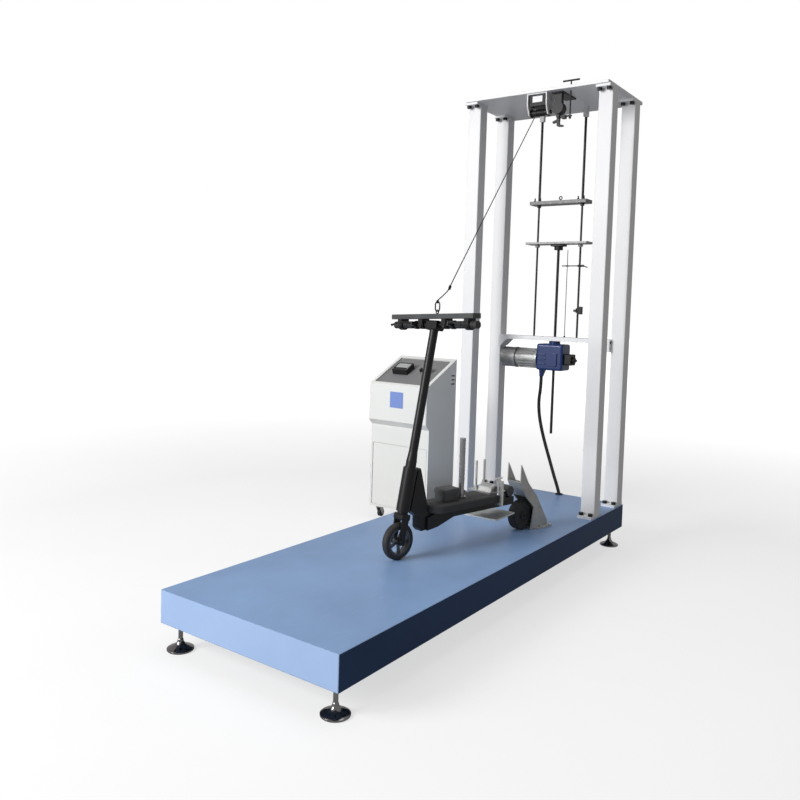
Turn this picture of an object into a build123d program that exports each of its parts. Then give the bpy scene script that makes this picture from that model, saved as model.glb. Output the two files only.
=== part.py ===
from build123d import *
import os
from math import atan2, cos, degrees, pi, radians, sin, sqrt, tan

# Pedal impact testing machine, in millimetres.
# The model's datum is the middle of the platform's front top edge: +X across, +Y along, +Z up.
# At the end every piece moves to the middle of the whole footprint, at floor level.

# Platform
PLATFORM_W = 900.0
PLATFORM_L = 2600.0
PLATFORM_H = 130.0
DECK_T = 8.0
SKIRT_T = 6.0
RAIL_W = 50.0
RAIL_H = 90.0
RAIL_WALL = 5.0
CROSS_COUNT = 5

# Levelling feet
FOOT_H = 110.0
FOOT_PAD_R = 52.5
FOOT_STEM_R = 9.0
FOOT_INSET = 55.0
FOOT_BLOCK = 80.0

# Posts and top plate
POST = 80.0
POST_WALL = 4.0
POST_INSET = 8.0
NEAR_POST_BACK = 430.0
SOFFIT_Z = 2335.0
TOP_T = 15.0
TOP_SETBACK = 6.0
TOP_FRONT = 54.0
TOP_BACK = 54.0
FLANGE_T = 15.0
FLANGE_REACH = 45.0
BOLT_R = 8.0
BOLT_HEAD_R = 13.0
BOLT_HEAD_H = 14.0
BOLT_SPREAD = 26.0

# Lift between the far posts
MECH_SHIFT = 20.0
ROD_X = 140.0
ROD_LOW_R = 6.0
ROD_HIGH_R = 7.5
TIE_TOP = 1790.0
TIE_T = 20.0
TIE_W = 370.0
TIE_D = 90.0
LIFT_BOTTOM = 1530.0
LIFT_T = 12.0
LIFT_W = 400.0
LIFT_D = 100.0
SUPPORT_TOP = 970.0
SUPPORT_T = 10.0
SUPPORT_LIP = 25.0
SUPPORT_LIP_T = 6.0
SUPPORT_D = 96.0
SCREW_R = 8.0
SCREW_END = 376.0
ROD_NUT_R = 13.0
ROD_NUT_H = 14.0
SOCKET = 26.0
SOCKET_H = 60.0

# Gearmotor
GEARBOX_TOP = 926.0
GEARBOX_H = 160.0
GEARBOX_LEFT = 92.0
GEARBOX_RIGHT = 79.0
GEARBOX_D = 126.0
MOTOR_R = 62.0
MOTOR_LEN = 150.0
FAN_COVER_LEN = 92.0
MOTOR_FLANGE_T = 12.0
FIN_COUNT = 18
FIN_H = 8.0
FIN_T = 5.0
OUTLET_H = 44.0
OUTLET_X = -80.0

# Limit trips on the right rod
TRIP_ARM_Z = 1400.0
TRIP_SWITCH_Z = 1133.0
TRIP_ROD_X = 61.0
TRIP_ROD_R = 2.0
TRIP_ROD_TOP = 1496.0

# Rope drum and release under the top plate
HOIST_SHIFT = 10.0
CHEEK_LEFT = -42.0
CHEEK_RIGHT = 78.0
CHEEK_T = 6.0
CHEEK_D = 104.0
CHEEK_DROP = 116.0
DRUM_DROP = 99.0
DRUM_CORE_R = 17.0
DRUM_FLANGE_R = 24.0
DRUM_SHAFT_R = 6.0
RELEASE_X = 130.0
RELEASE_R = 34.0
RELEASE_D = 50.0
RELEASE_DROP = 88.0
PULL_X = 197.0
PULL_R = 4.0
PULL_ABOVE = 42.0
PULL_BAR = 96.0
PULL_TRAVEL = 15.0

# Rope and hose
ROPE_R = 2.5
ROPE_X = -21.0
HOSE_R = 10.0
HOSE_GLAND_R = HOSE_R + 6
HOSE_X = 56.0
HOSE_FROM_BACK = 28.0
HOSE_DROP = 72.0
HOSE_WAY = ((-0.08, 0.0, 0.12), (-0.03, 0.03, 0.26), (0.12, 0.1, 0.4), (0.32, 0.22, 0.54),
            (0.54, 0.39, 0.68), (0.75, 0.58, 0.82), (0.91, 0.81, 0.92))
ROPE_SLACK = ((15, 88, 84), (17, 66, 50), (8, 27, 20))

# Specimen scooter and the beam over its handlebar
SCOOTER_X = 31.0
SCOOTER_FROM_BACK = 1700.0
SCOOTER_TURN = 76.75
RAKE = 10.9
WHEELBASE = 836.0
FRONT_R = 83.0
REAR_R = 75.0
FRONT_TYRE_W = 36.0
FRONT_TYRE_CROWN = 14.0
FRONT_RIM_R = 62.0
REAR_TYRE_W = 48.0
STEM_R = 20.0
COLUMN_R = 24.0
COLLAR_ABOVE = 50.0
COLLAR_TOP = 330.0
HANDLEBAR_Z = 1045.0
HANDLEBAR_LEN = 520.0
BAR_R = 12.7
GRIP_R = 17.0
GRIP_LEN = 120.0
BAR_TILT = 2.3
BEAM_LEN = 527.0
BEAM_SHIFT = 6.5
BEAM_D = 50.0
BEAM_H = 23.0
BEAM_GAP = 10.0
EYE_R = 8.0
EYE_WIRE = 2.5
EYE_RISE = 10.0
HOOK_HALF = 14.0
HOOK_STRAIGHT = 16.0
HOOK_WIRE = 3.0
HOOK_PLAY = 0.8
BOARD_BOTTOM = 190.0
BOARD_T = 35.0
BOARD_START = 165.0
BOARD_END = 640.0
BOARD_HALF = 72.0
WEIGHT_START = 252.0
WEIGHT_LEN = 92.0
WEIGHT_W = 74.0
WEIGHT_H = 38.0
LID_H = 22.0
LID_LIP = 5.0
ROLLER_R = 27.0
LOAD_POST_R = 14.0
LOAD_POST_S = 394.0
LOAD_COLLAR_T = 8.0
LOAD_GROOVE = 2.0
LOAD_POST_BEVEL = 2.0
LOAD_POST_TOP = 511.0
CLAMP_START = 548.0
CLAMP_END = 664.0
CLAMP_HALF = 98.0
CLAMP_NEAR = 40.0
CLAMP_T = 8.0
LOWER_BAR_LEN = 187.0
LOWER_BAR_TOP = 125.0
STUD_R = 6.0
STUD_OUT = 84.0
STUD_ABOVE = 143.0
G_CLAMP_S = 580.0
G_CLAMP_W = 12.0
G_CLAMP_ABOVE = 60.0
CLAMP_SCREW_R = 6.0
STAND_FOOT_T = 8.0
STAND_HALF = 40.0
STAND_T = 5.0

# Console on casters
CONSOLE_AWAY = 590.0
CONSOLE_W = 440.0
CONSOLE_AHEAD = 115.0
CONSOLE_D = 335.0
CONSOLE_FRONT_TOP = 635.0
CONSOLE_BACK_TOP = 799.0
CONSOLE_STEP = 35.0
CONSOLE_STEP_Z = 405.0
CONSOLE_WALL = 3.0
CASTER_H = 79.0
CASTER_WHEEL_R = 25.0
CASTER_TRAIL = 18.0
CASTER_INSET = 45.0
DOOR_TOP = 250.0
DOOR_T = 18.0
DOOR_MARGIN = 14.0
DOOR_GAP = 1.5
PANEL_BORDER = 24.0
PANEL_SUNK = 8.0
PANEL_T = 4.0
BUTTON_TRAVEL = 5.0

# Clearances
SLIP = 0.3
RUNNING = 0.08
HOLE_PLAY = 0.3

# Places worked out from the sizes above
HALF_W = PLATFORM_W / 2
FLOOR = -PLATFORM_H - FOOT_H
UNDERSIDE = -PLATFORM_H
POST_OUT = HALF_W - POST_INSET
POST_IN = POST_OUT - POST
FAR_POST_Y = PLATFORM_L - POST
NEAR_POST_Y = PLATFORM_L - NEAR_POST_BACK
MECH_Y = FAR_POST_Y + MECH_SHIFT
HOIST_Y = NEAR_POST_Y + HOIST_SHIFT
HOSE_Y = PLATFORM_L - HOSE_FROM_BACK
SCOOTER_Y = PLATFORM_L - SCOOTER_FROM_BACK
TOP_HALF = POST_OUT - TOP_SETBACK
CONSOLE_LEFT = -HALF_W - CONSOLE_AWAY
CONSOLE_FRONT = NEAR_POST_Y - CONSOLE_AHEAD
TOP_Z = SOFFIT_Z + TOP_T
TOP_Y0 = NEAR_POST_Y - TOP_FRONT
TOP_Y1 = PLATFORM_L + TOP_BACK
TIE_BOTTOM = TIE_TOP - TIE_T
LIFT_TOP = LIFT_BOTTOM + LIFT_T
WEB_BOTTOM = SUPPORT_TOP - SUPPORT_T
GEARBOX_BOTTOM = GEARBOX_TOP - GEARBOX_H
MOTOR_Z = GEARBOX_TOP - GEARBOX_H / 2 - 14
DRUM_Z = SOFFIT_Z - DRUM_DROP
RELEASE_Z = SOFFIT_Z - RELEASE_DROP
LEVER_Z = RELEASE_Z - RELEASE_R - 12
BEAM_BOTTOM = HANDLEBAR_Z + GRIP_R + BEAM_GAP
BEAM_TOP = BEAM_BOTTOM + BEAM_H
COLLAR_BOTTOM = FRONT_R + COLLAR_ABOVE
EYE_Z = BEAM_TOP + EYE_RISE
EYE_S = (EYE_Z - FRONT_R - SLIP) * tan(radians(RAKE))
HOOK_LOW = EYE_Z + EYE_R - EYE_WIRE - HOOK_WIRE - HOOK_PLAY
HOOK_HIGH = HOOK_LOW + 2 * HOOK_HALF + HOOK_STRAIGHT
BOARD_TOP = BOARD_BOTTOM + BOARD_T
CONSOLE_RIGHT = CONSOLE_LEFT + CONSOLE_W
CONSOLE_BACK = CONSOLE_FRONT + CONSOLE_D
CONSOLE_LOW_FRONT = CONSOLE_FRONT + CONSOLE_STEP
CONSOLE_BOTTOM = FLOOR + CASTER_H
PANEL_TILT = degrees(atan2(CONSOLE_BACK_TOP - CONSOLE_FRONT_TOP, CONSOLE_D))
FOOTPRINT_X = (CONSOLE_LEFT + HALF_W) / 2
FOOTPRINT_Y = TOP_Y1 / 2
TO_ROW = Location((-FOOTPRINT_X, -FOOTPRINT_Y, -FLOOR))
SCOOTER = Location((SCOOTER_X, SCOOTER_Y, 0), (0, 0, SCOOTER_TURN))
STEER = SCOOTER * Location((0, 0, FRONT_R + SLIP), (0, RAKE, 0))
BAR_UP = (HANDLEBAR_Z - FRONT_R) / cos(radians(RAKE))
BAR = STEER * Location((0, 0, BAR_UP), (-BAR_TILT, 0, 0))
STAND_BOLTS = (WHEELBASE + 101, WHEELBASE + 172)
REAR_AXLE_Z = REAR_R + SLIP

parts = {}


def keep(name, *shapes):
    """Store one named piece, which may be several separate solids."""
    solids = [solid for shape in shapes for solid in shape.solids()]
    parts[name] = solids[0] if len(solids) == 1 else Compound(solids)


def block(x, y, z):
    """A box from three (low, high) pairs."""
    sides = (x[1] - x[0], y[1] - y[0], z[1] - z[0])
    return Pos(x[0], y[0], z[0]) * Box(*sides, align=(Align.MIN, Align.MIN, Align.MIN))


def rod(radius, start, end):
    """A round bar between two points."""
    start, end = Vector(*start), Vector(*end)
    bar = Cylinder(radius, (end - start).length, align=(Align.CENTER, Align.CENTER, Align.MIN))
    return Plane(origin=start, z_dir=end - start) * bar


def tube(outer, inner, start, end):
    """A round bar with a hole all the way."""
    return rod(outer, start, end) - rod(inner, start, end)


def upright_rod(radius, x, y, z):
    """A vertical bar; z is a (low, high) pair."""
    return rod(radius, (x, y, z[0]), (x, y, z[1]))


def side_plate(points, y):
    """A plate whose outline is given in X and Z; y is a (low, high) pair."""
    outline = [Vector(px, y[1], pz) for px, pz in points]
    face = make_face(Polyline(*outline, close=True))
    return extrude(face, y[1] - y[0], dir=(0, -1, 0))


def profile_plate(points, x):
    """A plate whose outline is given in Y and Z; x is a (low, high) pair."""
    outline = [Vector(x[0], py, pz) for py, pz in points]
    face = make_face(Polyline(*outline, close=True))
    return extrude(face, x[1] - x[0], dir=(1, 0, 0))


def hex_nut(radius, height, bore, x, y, z):
    """A hexagonal nut that stands on z."""
    nut = Pos(x, y, z) * extrude(RegularPolygon(radius, 6), height)
    return nut - upright_rod(bore, x, y, (z - 1, z + height + 1))


def ring_link(half_width, straight, wire):
    """An oval ring in the XZ plane, centred on the origin."""
    link = Part()
    for side in (-1, 1):
        bend = Pos(0, 0, side * straight / 2) * Rot(90, 0, 0) * Torus(half_width, wire)
        half = Pos(0, 0, side * (straight / 2 + half_width)) * Box(4 * half_width, 4 * wire, 2 * half_width)
        link += bend & half
        low, high = (side * half_width, 0, -straight / 2), (side * half_width, 0, straight / 2)
        link += rod(wire, low, high)
    return link


def cord(name, points, radius, label):
    """A flexible line: straight runs joined by arcs as large as the runs allow."""
    radii = []
    for before, here, after in zip(points, points[1:], points[2:]):
        first = Vector(*here) - Vector(*before)
        second = Vector(*after) - Vector(*here)
        turn = radians(first.get_angle(second))
        radii.append(0.45 * min(first.length, second.length) / tan(turn / 2))
    path = FilletPolyline(*points, radius=radii)
    start = Plane(origin=path @ 0, z_dir=path % 0)
    line = sweep(start * Circle(radius), path=path)
    expected = pi * radius**2 * path.length
    print(f"{label}: length {path.length:.0f}, volume over section times length {line.volume / expected:.4f}")
    print("  radii", [round(r, 1) for r in radii])
    keep(name, line)


# Platform

def platform():
    deck = block((-HALF_W, HALF_W), (0, PLATFORM_L), (UNDERSIDE, 0))
    deck = fillet(deck.edges().filter_by(Axis.Z), 5)
    deck -= block((SKIRT_T - HALF_W, HALF_W - SKIRT_T), (SKIRT_T, PLATFORM_L - SKIRT_T),
                  (UNDERSIDE - 1, -DECK_T))
    for x, y, _ in post_bolt_places():
        deck -= upright_rod(BOLT_R + HOLE_PLAY, x, y, (-DECK_T - 1, 1))
    deck -= upright_rod(HOSE_GLAND_R, HOSE_X, HOSE_Y, (-DECK_T - 1, 1))
    keep("platform_deck", deck)

    rail_out = HALF_W - SKIRT_T
    rail_z = (-DECK_T - RAIL_H, -DECK_T)
    inside_z = (rail_z[0] + RAIL_WALL, rail_z[1] - RAIL_WALL)
    frame = []
    for side in (-1, 1):
        x = sorted((side * rail_out, side * (rail_out - RAIL_W)))
        rail = block(x, (SKIRT_T, PLATFORM_L - SKIRT_T), rail_z)
        frame.append(rail - block((x[0] + RAIL_WALL, x[1] - RAIL_WALL), (0, PLATFORM_L), inside_z))
    spacing = (PLATFORM_L - 2 * SKIRT_T - RAIL_W) / (CROSS_COUNT - 1)
    for i in range(CROSS_COUNT):
        y0 = SKIRT_T + i * spacing
        beam = block((RAIL_W - rail_out, rail_out - RAIL_W), (y0, y0 + RAIL_W), rail_z)
        beam -= block((-HALF_W, HALF_W), (y0 + RAIL_WALL, y0 + RAIL_W - RAIL_WALL), inside_z)
        frame.append(beam - upright_rod(HOSE_GLAND_R, HOSE_X, HOSE_Y, (inside_z[0], rail_z[1] + 1)))
    for x, y in foot_places():
        pad = block((x - FOOT_BLOCK / 2, x + FOOT_BLOCK / 2), (y - FOOT_BLOCK / 2, y + FOOT_BLOCK / 2),
                    (UNDERSIDE, rail_z[0]))
        frame.append(pad - upright_rod(FOOT_STEM_R + HOLE_PLAY, x, y, (UNDERSIDE - 1, rail_z[0] + 1)))
    keep("platform_frame", *frame)


def foot_places():
    reach = HALF_W - FOOT_INSET
    return [(sx * reach, y) for sx in (-1, 1) for y in (FOOT_INSET, PLATFORM_L - FOOT_INSET)]


def levelling_feet():
    """Bell-shaped pads on threaded stems, each with a lock nut under the platform."""
    pad_edge = 7.0
    neck_z = 42.0
    stem_top = FOOT_H + 24.0
    with BuildPart() as foot:
        with BuildSketch(Plane.XZ):
            with BuildLine():
                Polyline((0, 0), (FOOT_PAD_R - 2, 0), (FOOT_PAD_R, 2), (FOOT_PAD_R, pad_edge))
                Spline((FOOT_PAD_R, pad_edge), (FOOT_PAD_R * 0.55, 18), (FOOT_STEM_R + 2, neck_z),
                       tangents=((-0.8, 0.6), (-0.1, 1)))
                Polyline((FOOT_STEM_R + 2, neck_z), (FOOT_STEM_R, neck_z + 4), (FOOT_STEM_R, stem_top),
                         (0, stem_top), (0, 0))
            make_face()
        revolve(axis=Axis.Z)
    solids = []
    for x, y in foot_places():
        solids.append(Pos(x, y, FLOOR) * foot.part)
        solids.append(hex_nut(16, 12, FOOT_STEM_R + HOLE_PLAY, x, y, UNDERSIDE - 12))
    keep("levelling_feet", *solids)


# Posts and top plate

def post_bolt_places():
    """The x and y of each bolt, and the y where its post starts."""
    places = []
    for y0 in (NEAR_POST_Y, FAR_POST_Y):
        for side in (-1, 1):
            middle = side * (POST_OUT - POST / 2)
            for spread in (-BOLT_SPREAD, BOLT_SPREAD):
                places.append((middle + spread, y0 - FLANGE_REACH / 2, y0))
    return places


def posts():
    height = (FLANGE_T, SOFFIT_Z - FLANGE_T)
    for name, y0 in (("near_posts", NEAR_POST_Y), ("far_posts", FAR_POST_Y)):
        pair = []
        for side in (-1, 1):
            x = sorted((side * POST_IN, side * POST_OUT))
            post = block(x, (y0, y0 + POST), height)
            post = fillet(post.edges().filter_by(Axis.Z), 5)
            hollow = block((x[0] + POST_WALL, x[1] - POST_WALL),
                           (y0 + POST_WALL, y0 + POST - POST_WALL), (0, SOFFIT_Z))
            post -= hollow
            for z in ((0, FLANGE_T), (height[1], SOFFIT_Z)):
                flange = block(x, (y0 - FLANGE_REACH, y0 + POST), z)
                for bx, by, start in post_bolt_places():
                    if start == y0:
                        flange -= upright_rod(BOLT_R + HOLE_PLAY, bx, by, (z[0] - 1, z[1] + 1))
                post += flange
            pair.append(post)
        keep(name, *pair)


def frame_fasteners():
    bolts = []
    for x, y, _ in post_bolt_places():
        low = upright_rod(BOLT_R, x, y, (-DECK_T, FLANGE_T))
        low += upright_rod(BOLT_HEAD_R, x, y, (FLANGE_T, FLANGE_T + BOLT_HEAD_H))
        high = upright_rod(BOLT_R, x, y, (SOFFIT_Z - FLANGE_T, TOP_Z))
        high += upright_rod(BOLT_HEAD_R, x, y, (SOFFIT_Z - FLANGE_T - BOLT_HEAD_H, SOFFIT_Z - FLANGE_T))
        bolts += [low, high]
    for side in (-1, 1):
        x = side * ROD_X
        for under in (TIE_BOTTOM, WEB_BOTTOM):
            bolts.append(hex_nut(ROD_NUT_R, ROD_NUT_H, ROD_LOW_R + HOLE_PLAY, x, MECH_Y, under - ROD_NUT_H))
        for out in (-18, 18):
            stud = upright_rod(4, x + out, MECH_Y - TIE_D / 4, (TIE_TOP, TIE_TOP + 22))
            stud += upright_rod(7, x + out, MECH_Y - TIE_D / 4, (TIE_TOP, TIE_TOP + 7))
            bolts.append(stud)
    eye = upright_rod(4, 0, MECH_Y, (TIE_TOP, TIE_TOP + 10))
    eye += upright_rod(9, 0, MECH_Y, (TIE_TOP, TIE_TOP + 4))
    eye += Pos(0, MECH_Y, TIE_TOP + 19) * Rot(90, 0, 0) * Torus(9, 3)
    bolts.append(eye)
    keep("frame_fasteners", *bolts)


def top_plate():
    plate = block((-TOP_HALF, TOP_HALF), (TOP_Y0, TOP_Y1), (SOFFIT_Z, TOP_Z))
    plate = fillet(plate.edges().filter_by(Axis.Z), 6)
    for x, y, _ in post_bolt_places():
        plate -= upright_rod(BOLT_R + HOLE_PLAY, x, y, (SOFFIT_Z - 1, TOP_Z + 1))
    plate -= upright_rod(PULL_R + RUNNING, PULL_X, HOIST_Y, (SOFFIT_Z - 1, TOP_Z + 1))
    socket_z = (SOFFIT_Z - SOCKET_H, SOFFIT_Z)
    half = SOCKET / 2
    for side in (-1, 1):
        x = side * ROD_X
        socket = block((x - half, x + half), (MECH_Y - half, MECH_Y + half), socket_z)
        socket = chamfer(socket.edges().group_by(Axis.Z)[0], 4)
        plate += socket - upright_rod(ROD_HIGH_R + HOLE_PLAY, x, MECH_Y, (socket_z[0] - 1, SOFFIT_Z + 1))
    keep("top_plate", plate)


# Lift unit

def guide_rods():
    rods = []
    rod_bottom = WEB_BOTTOM - ROD_NUT_H - 4
    for side in (-1, 1):
        x = side * ROD_X
        shaft = upright_rod(ROD_LOW_R, x, MECH_Y, (rod_bottom, TIE_TOP))
        shaft += upright_rod(ROD_HIGH_R, x, MECH_Y, (TIE_TOP, SOFFIT_Z))
        rods.append(shaft)
    keep("guide_rods", *rods)


def lift_plates():
    depth = (MECH_Y - TIE_D / 2, MECH_Y + TIE_D / 2)
    tie = block((-TIE_W / 2, TIE_W / 2), depth, (TIE_BOTTOM, TIE_TOP))
    tie = fillet(tie.edges().filter_by(Axis.Z), 8)
    lift = block((-LIFT_W / 2, LIFT_W / 2), (MECH_Y - LIFT_D / 2, MECH_Y + LIFT_D / 2),
                 (LIFT_BOTTOM, LIFT_TOP))
    lift = fillet(lift.edges().filter_by(Axis.Z), 8)
    for side in (-1, 1):
        x = side * ROD_X
        tie -= upright_rod(ROD_LOW_R + HOLE_PLAY, x, MECH_Y, (TIE_BOTTOM - 1, TIE_TOP + 1))
        lift += upright_rod(ROD_LOW_R + 8, x, MECH_Y, (LIFT_BOTTOM - 16, LIFT_TOP))
        lift -= upright_rod(ROD_LOW_R + RUNNING, x, MECH_Y, (LIFT_BOTTOM - 17, LIFT_TOP + 1))
    lift -= upright_rod(TRIP_ROD_R + 2, TRIP_ROD_X, MECH_Y, (LIFT_BOTTOM - 1, LIFT_TOP + 1))
    keep("tie_plate", tie)
    keep("lift_plate", lift)

    housing = block((-42, 42), (MECH_Y - 32, MECH_Y + 32), (LIFT_BOTTOM - 12, LIFT_BOTTOM))
    housing = fillet(housing.edges().filter_by(Axis.Z), 8)
    housing += upright_rod(26, 0, MECH_Y, (LIFT_BOTTOM - 34, LIFT_BOTTOM - 12))
    housing += upright_rod(SCREW_R, 0, MECH_Y, (SCREW_END, LIFT_BOTTOM - 34))
    keep("lift_screw", housing)


def support_plate():
    y0, y1 = MECH_Y - SUPPORT_D / 2, MECH_Y + SUPPORT_D / 2
    web = block((-POST_IN, POST_IN), (y0, y1), (WEB_BOTTOM, SUPPORT_TOP))
    for lip in ((y0, y0 + SUPPORT_LIP_T), (y1 - SUPPORT_LIP_T, y1)):
        web += block((-POST_IN, POST_IN), lip, (SUPPORT_TOP - SUPPORT_LIP, SUPPORT_TOP))
    for side in (-1, 1):
        web -= upright_rod(ROD_LOW_R + HOLE_PLAY, side * ROD_X, MECH_Y, (WEB_BOTTOM - 1, SUPPORT_TOP + 1))
    web -= upright_rod(SCREW_R + 10, 0, MECH_Y, (WEB_BOTTOM - 1, SUPPORT_TOP + 1))

    width, height = 60, 46
    top = SUPPORT_TOP - SUPPORT_LIP
    for side in (-1, 1):
        wall = side * POST_IN
        outline = [(wall, top), (wall - side * width, top), (wall - side * (width - 8), top - 8),
                   (wall - side * 14, top - height), (wall, top - height)]
        web += side_plate(outline, (y0, y1))
    keep("support_plate", web)


def gearmotor():
    y0, y1 = MECH_Y - GEARBOX_D / 2, MECH_Y + GEARBOX_D / 2
    box = block((-GEARBOX_LEFT, GEARBOX_RIGHT), (y0, y1), (GEARBOX_BOTTOM, GEARBOX_TOP))
    box = fillet(box.edges(), 14)
    for z, radius in ((GEARBOX_TOP, 34), (WEB_BOTTOM - 12, 40)):
        box += upright_rod(radius, 0, MECH_Y, (z - 2, WEB_BOTTOM))
    cover = block((-22, 46), (y0 - 7, y0 + 1), (GEARBOX_BOTTOM + 26, GEARBOX_BOTTOM + 106))
    box += fillet(cover.edges().filter_by(Axis.Y), 10)
    for z in (GEARBOX_BOTTOM + 38, GEARBOX_BOTTOM + 66, GEARBOX_BOTTOM + 94):
        box += block((-GEARBOX_LEFT + 12, -30), (y0 - 5, y0 + 1), (z - 4, z + 4))
    wide = Pos(OUTLET_X + 8, MECH_Y, GEARBOX_BOTTOM + 1) * RectangleRounded(34, 50, 8)
    narrow = Pos(OUTLET_X, MECH_Y, GEARBOX_BOTTOM - OUTLET_H) * Circle(HOSE_R + 3)
    box += loft([wide, narrow])
    box -= upright_rod(SCREW_R + RUNNING, 0, MECH_Y, (GEARBOX_BOTTOM - 1, WEB_BOTTOM + 1))
    keep("worm_gearbox", box)

    left = -GEARBOX_LEFT
    barrel = rod(MOTOR_R - FIN_H, (left - MOTOR_LEN, MECH_Y, MOTOR_Z), (left, MECH_Y, MOTOR_Z))
    barrel += rod(MOTOR_R + 4, (left - MOTOR_FLANGE_T, MECH_Y, MOTOR_Z), (left, MECH_Y, MOTOR_Z))
    fin = block((left - MOTOR_LEN + 14, left - MOTOR_FLANGE_T), (-FIN_T / 2, FIN_T / 2),
                (MOTOR_R - FIN_H - 2, MOTOR_R))
    for i in range(FIN_COUNT):
        barrel += Pos(0, MECH_Y, MOTOR_Z) * Rot(i * 360 / FIN_COUNT, 0, 0) * fin
    keep("motor_barrel", barrel)

    band_start = left - MOTOR_LEN
    bell_end = band_start - 14 - FAN_COVER_LEN
    bell = rod(MOTOR_R, (bell_end, MECH_Y, MOTOR_Z), (band_start - 14, MECH_Y, MOTOR_Z))
    bell = fillet(bell.edges().sort_by(Axis.X)[0], 16)
    bell += rod(MOTOR_R + 2, (band_start - 14, MECH_Y, MOTOR_Z), (band_start, MECH_Y, MOTOR_Z))
    keep("fan_cover", bell)

    right = GEARBOX_RIGHT
    cap_z = (MOTOR_Z - 30, MOTOR_Z + 36)
    cap = block((right, right + 44), (MECH_Y - 36, MECH_Y + 36), cap_z)
    cap = fillet(cap.edges().filter_by(Axis.X), 8)
    cap += rod(20, (right + 44, MECH_Y, MOTOR_Z), (right + 56, MECH_Y, MOTOR_Z))
    cap += rod(7, (right + 56, MECH_Y, MOTOR_Z), (right + 68, MECH_Y, MOTOR_Z))
    keep("gearbox_end_cap", cap)


def limit_trips():
    trip = upright_rod(TRIP_ROD_R, TRIP_ROD_X, MECH_Y, (SUPPORT_TOP, TRIP_ROD_TOP))
    trip += upright_rod(6, TRIP_ROD_X, MECH_Y, (SUPPORT_TOP, SUPPORT_TOP + 8))
    keep("trip_rod", trip)

    z = (TRIP_ARM_Z - 6, TRIP_ARM_Z + 6)
    arm = block((28, ROD_X), (MECH_Y - 4, MECH_Y + 4), (TRIP_ARM_Z - 3, TRIP_ARM_Z + 3))
    arm += block((TRIP_ROD_X - 8, TRIP_ROD_X + 8), (MECH_Y - 8, MECH_Y + 8), (TRIP_ARM_Z - 4, TRIP_ARM_Z + 4))
    arm += upright_rod(13, ROD_X, MECH_Y, z)
    arm += block((ROD_X + 6, ROD_X + 26), (MECH_Y - 7, MECH_Y + 7), z)
    arm += rod(3, (ROD_X + 20, MECH_Y, TRIP_ARM_Z), (ROD_X + 56, MECH_Y - 20, TRIP_ARM_Z - 10))
    arm -= upright_rod(ROD_LOW_R + RUNNING, ROD_X, MECH_Y, (z[0] - 1, z[1] + 1))
    arm -= upright_rod(TRIP_ROD_R + RUNNING, TRIP_ROD_X, MECH_Y, (z[0] - 1, z[1] + 1))
    keep("trip_arm", arm)

    z = (TRIP_SWITCH_Z - 14, TRIP_SWITCH_Z + 14)
    switch = upright_rod(13, ROD_X, MECH_Y, z)
    switch += block((ROD_X + 4, ROD_X + 26), (MECH_Y - 12, MECH_Y + 12), (z[0] - 8, z[1] + 10))
    switch += block((ROD_X - 26, ROD_X - 8), (MECH_Y - 6, MECH_Y + 6), (z[0] + 6, z[1] - 8))
    switch -= upright_rod(ROD_LOW_R + HOLE_PLAY, ROD_X, MECH_Y, (z[0] - 9, z[1] + 11))
    keep("limit_switch", switch)


# Rope drum and release

def rope_drum():
    y0, y1 = HOIST_Y - CHEEK_D / 2, HOIST_Y + CHEEK_D / 2
    bottom = SOFFIT_Z - CHEEK_DROP
    bracket = block((CHEEK_LEFT, CHEEK_RIGHT), (y0, y1), (SOFFIT_Z - CHEEK_T, SOFFIT_Z))
    for x0 in (CHEEK_LEFT, CHEEK_RIGHT - CHEEK_T):
        outline = [(y0, SOFFIT_Z), (y1, SOFFIT_Z), (y1, bottom + 50), (y1 - 26, bottom),
                   (y0 + 26, bottom), (y0, bottom + 50)]
        bracket += profile_plate(outline, (x0, x0 + CHEEK_T))
    bracket -= rod(DRUM_SHAFT_R + RUNNING, (CHEEK_LEFT - 1, HOIST_Y, DRUM_Z),
                   (CHEEK_RIGHT + 1, HOIST_Y, DRUM_Z))
    keep("drum_bracket", bracket)

    inner = (CHEEK_LEFT + CHEEK_T, CHEEK_RIGHT - CHEEK_T)
    drive = block((inner[0] + 8, inner[1] - 8), (y0 + 8, y1 - 8),
                  (DRUM_Z + DRUM_FLANGE_R + 6, SOFFIT_Z - CHEEK_T))
    drive = fillet(drive.edges().filter_by(Axis.Y), 8)
    window = block((inner[0] + 20, inner[1] - 20), (y0 + 7, y0 + 11),
                   (DRUM_Z + DRUM_FLANGE_R + 16, SOFFIT_Z - CHEEK_T - 8))
    keep("drum_drive", drive - window)

    drum_x = (inner[0] + SLIP, inner[1] - SLIP)
    drum = rod(DRUM_CORE_R, (drum_x[0], HOIST_Y, DRUM_Z), (drum_x[1], HOIST_Y, DRUM_Z))
    for x0 in (drum_x[0], drum_x[1] - 5):
        drum += rod(DRUM_FLANGE_R, (x0, HOIST_Y, DRUM_Z), (x0 + 5, HOIST_Y, DRUM_Z))
    for i in range(4):
        x0 = drum_x[0] + 30 + i * 14
        drum += rod(DRUM_CORE_R + 3, (x0, HOIST_Y, DRUM_Z), (x0 + 6, HOIST_Y, DRUM_Z))
    drum += rod(DRUM_SHAFT_R, (CHEEK_LEFT - 6, HOIST_Y, DRUM_Z), (CHEEK_RIGHT + 6, HOIST_Y, DRUM_Z))
    drum += rod(10, (CHEEK_RIGHT + SLIP, HOIST_Y, DRUM_Z), (CHEEK_RIGHT + 6, HOIST_Y, DRUM_Z))
    for angle in range(0, 360, 60):
        spot = (HOIST_Y + 10 * cos(radians(angle)), DRUM_Z + 10 * sin(radians(angle)))
        drum -= rod(2.5, (drum_x[1] - 2, *spot), (drum_x[1] + 1, *spot))
    keep("rope_drum", drum)


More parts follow.
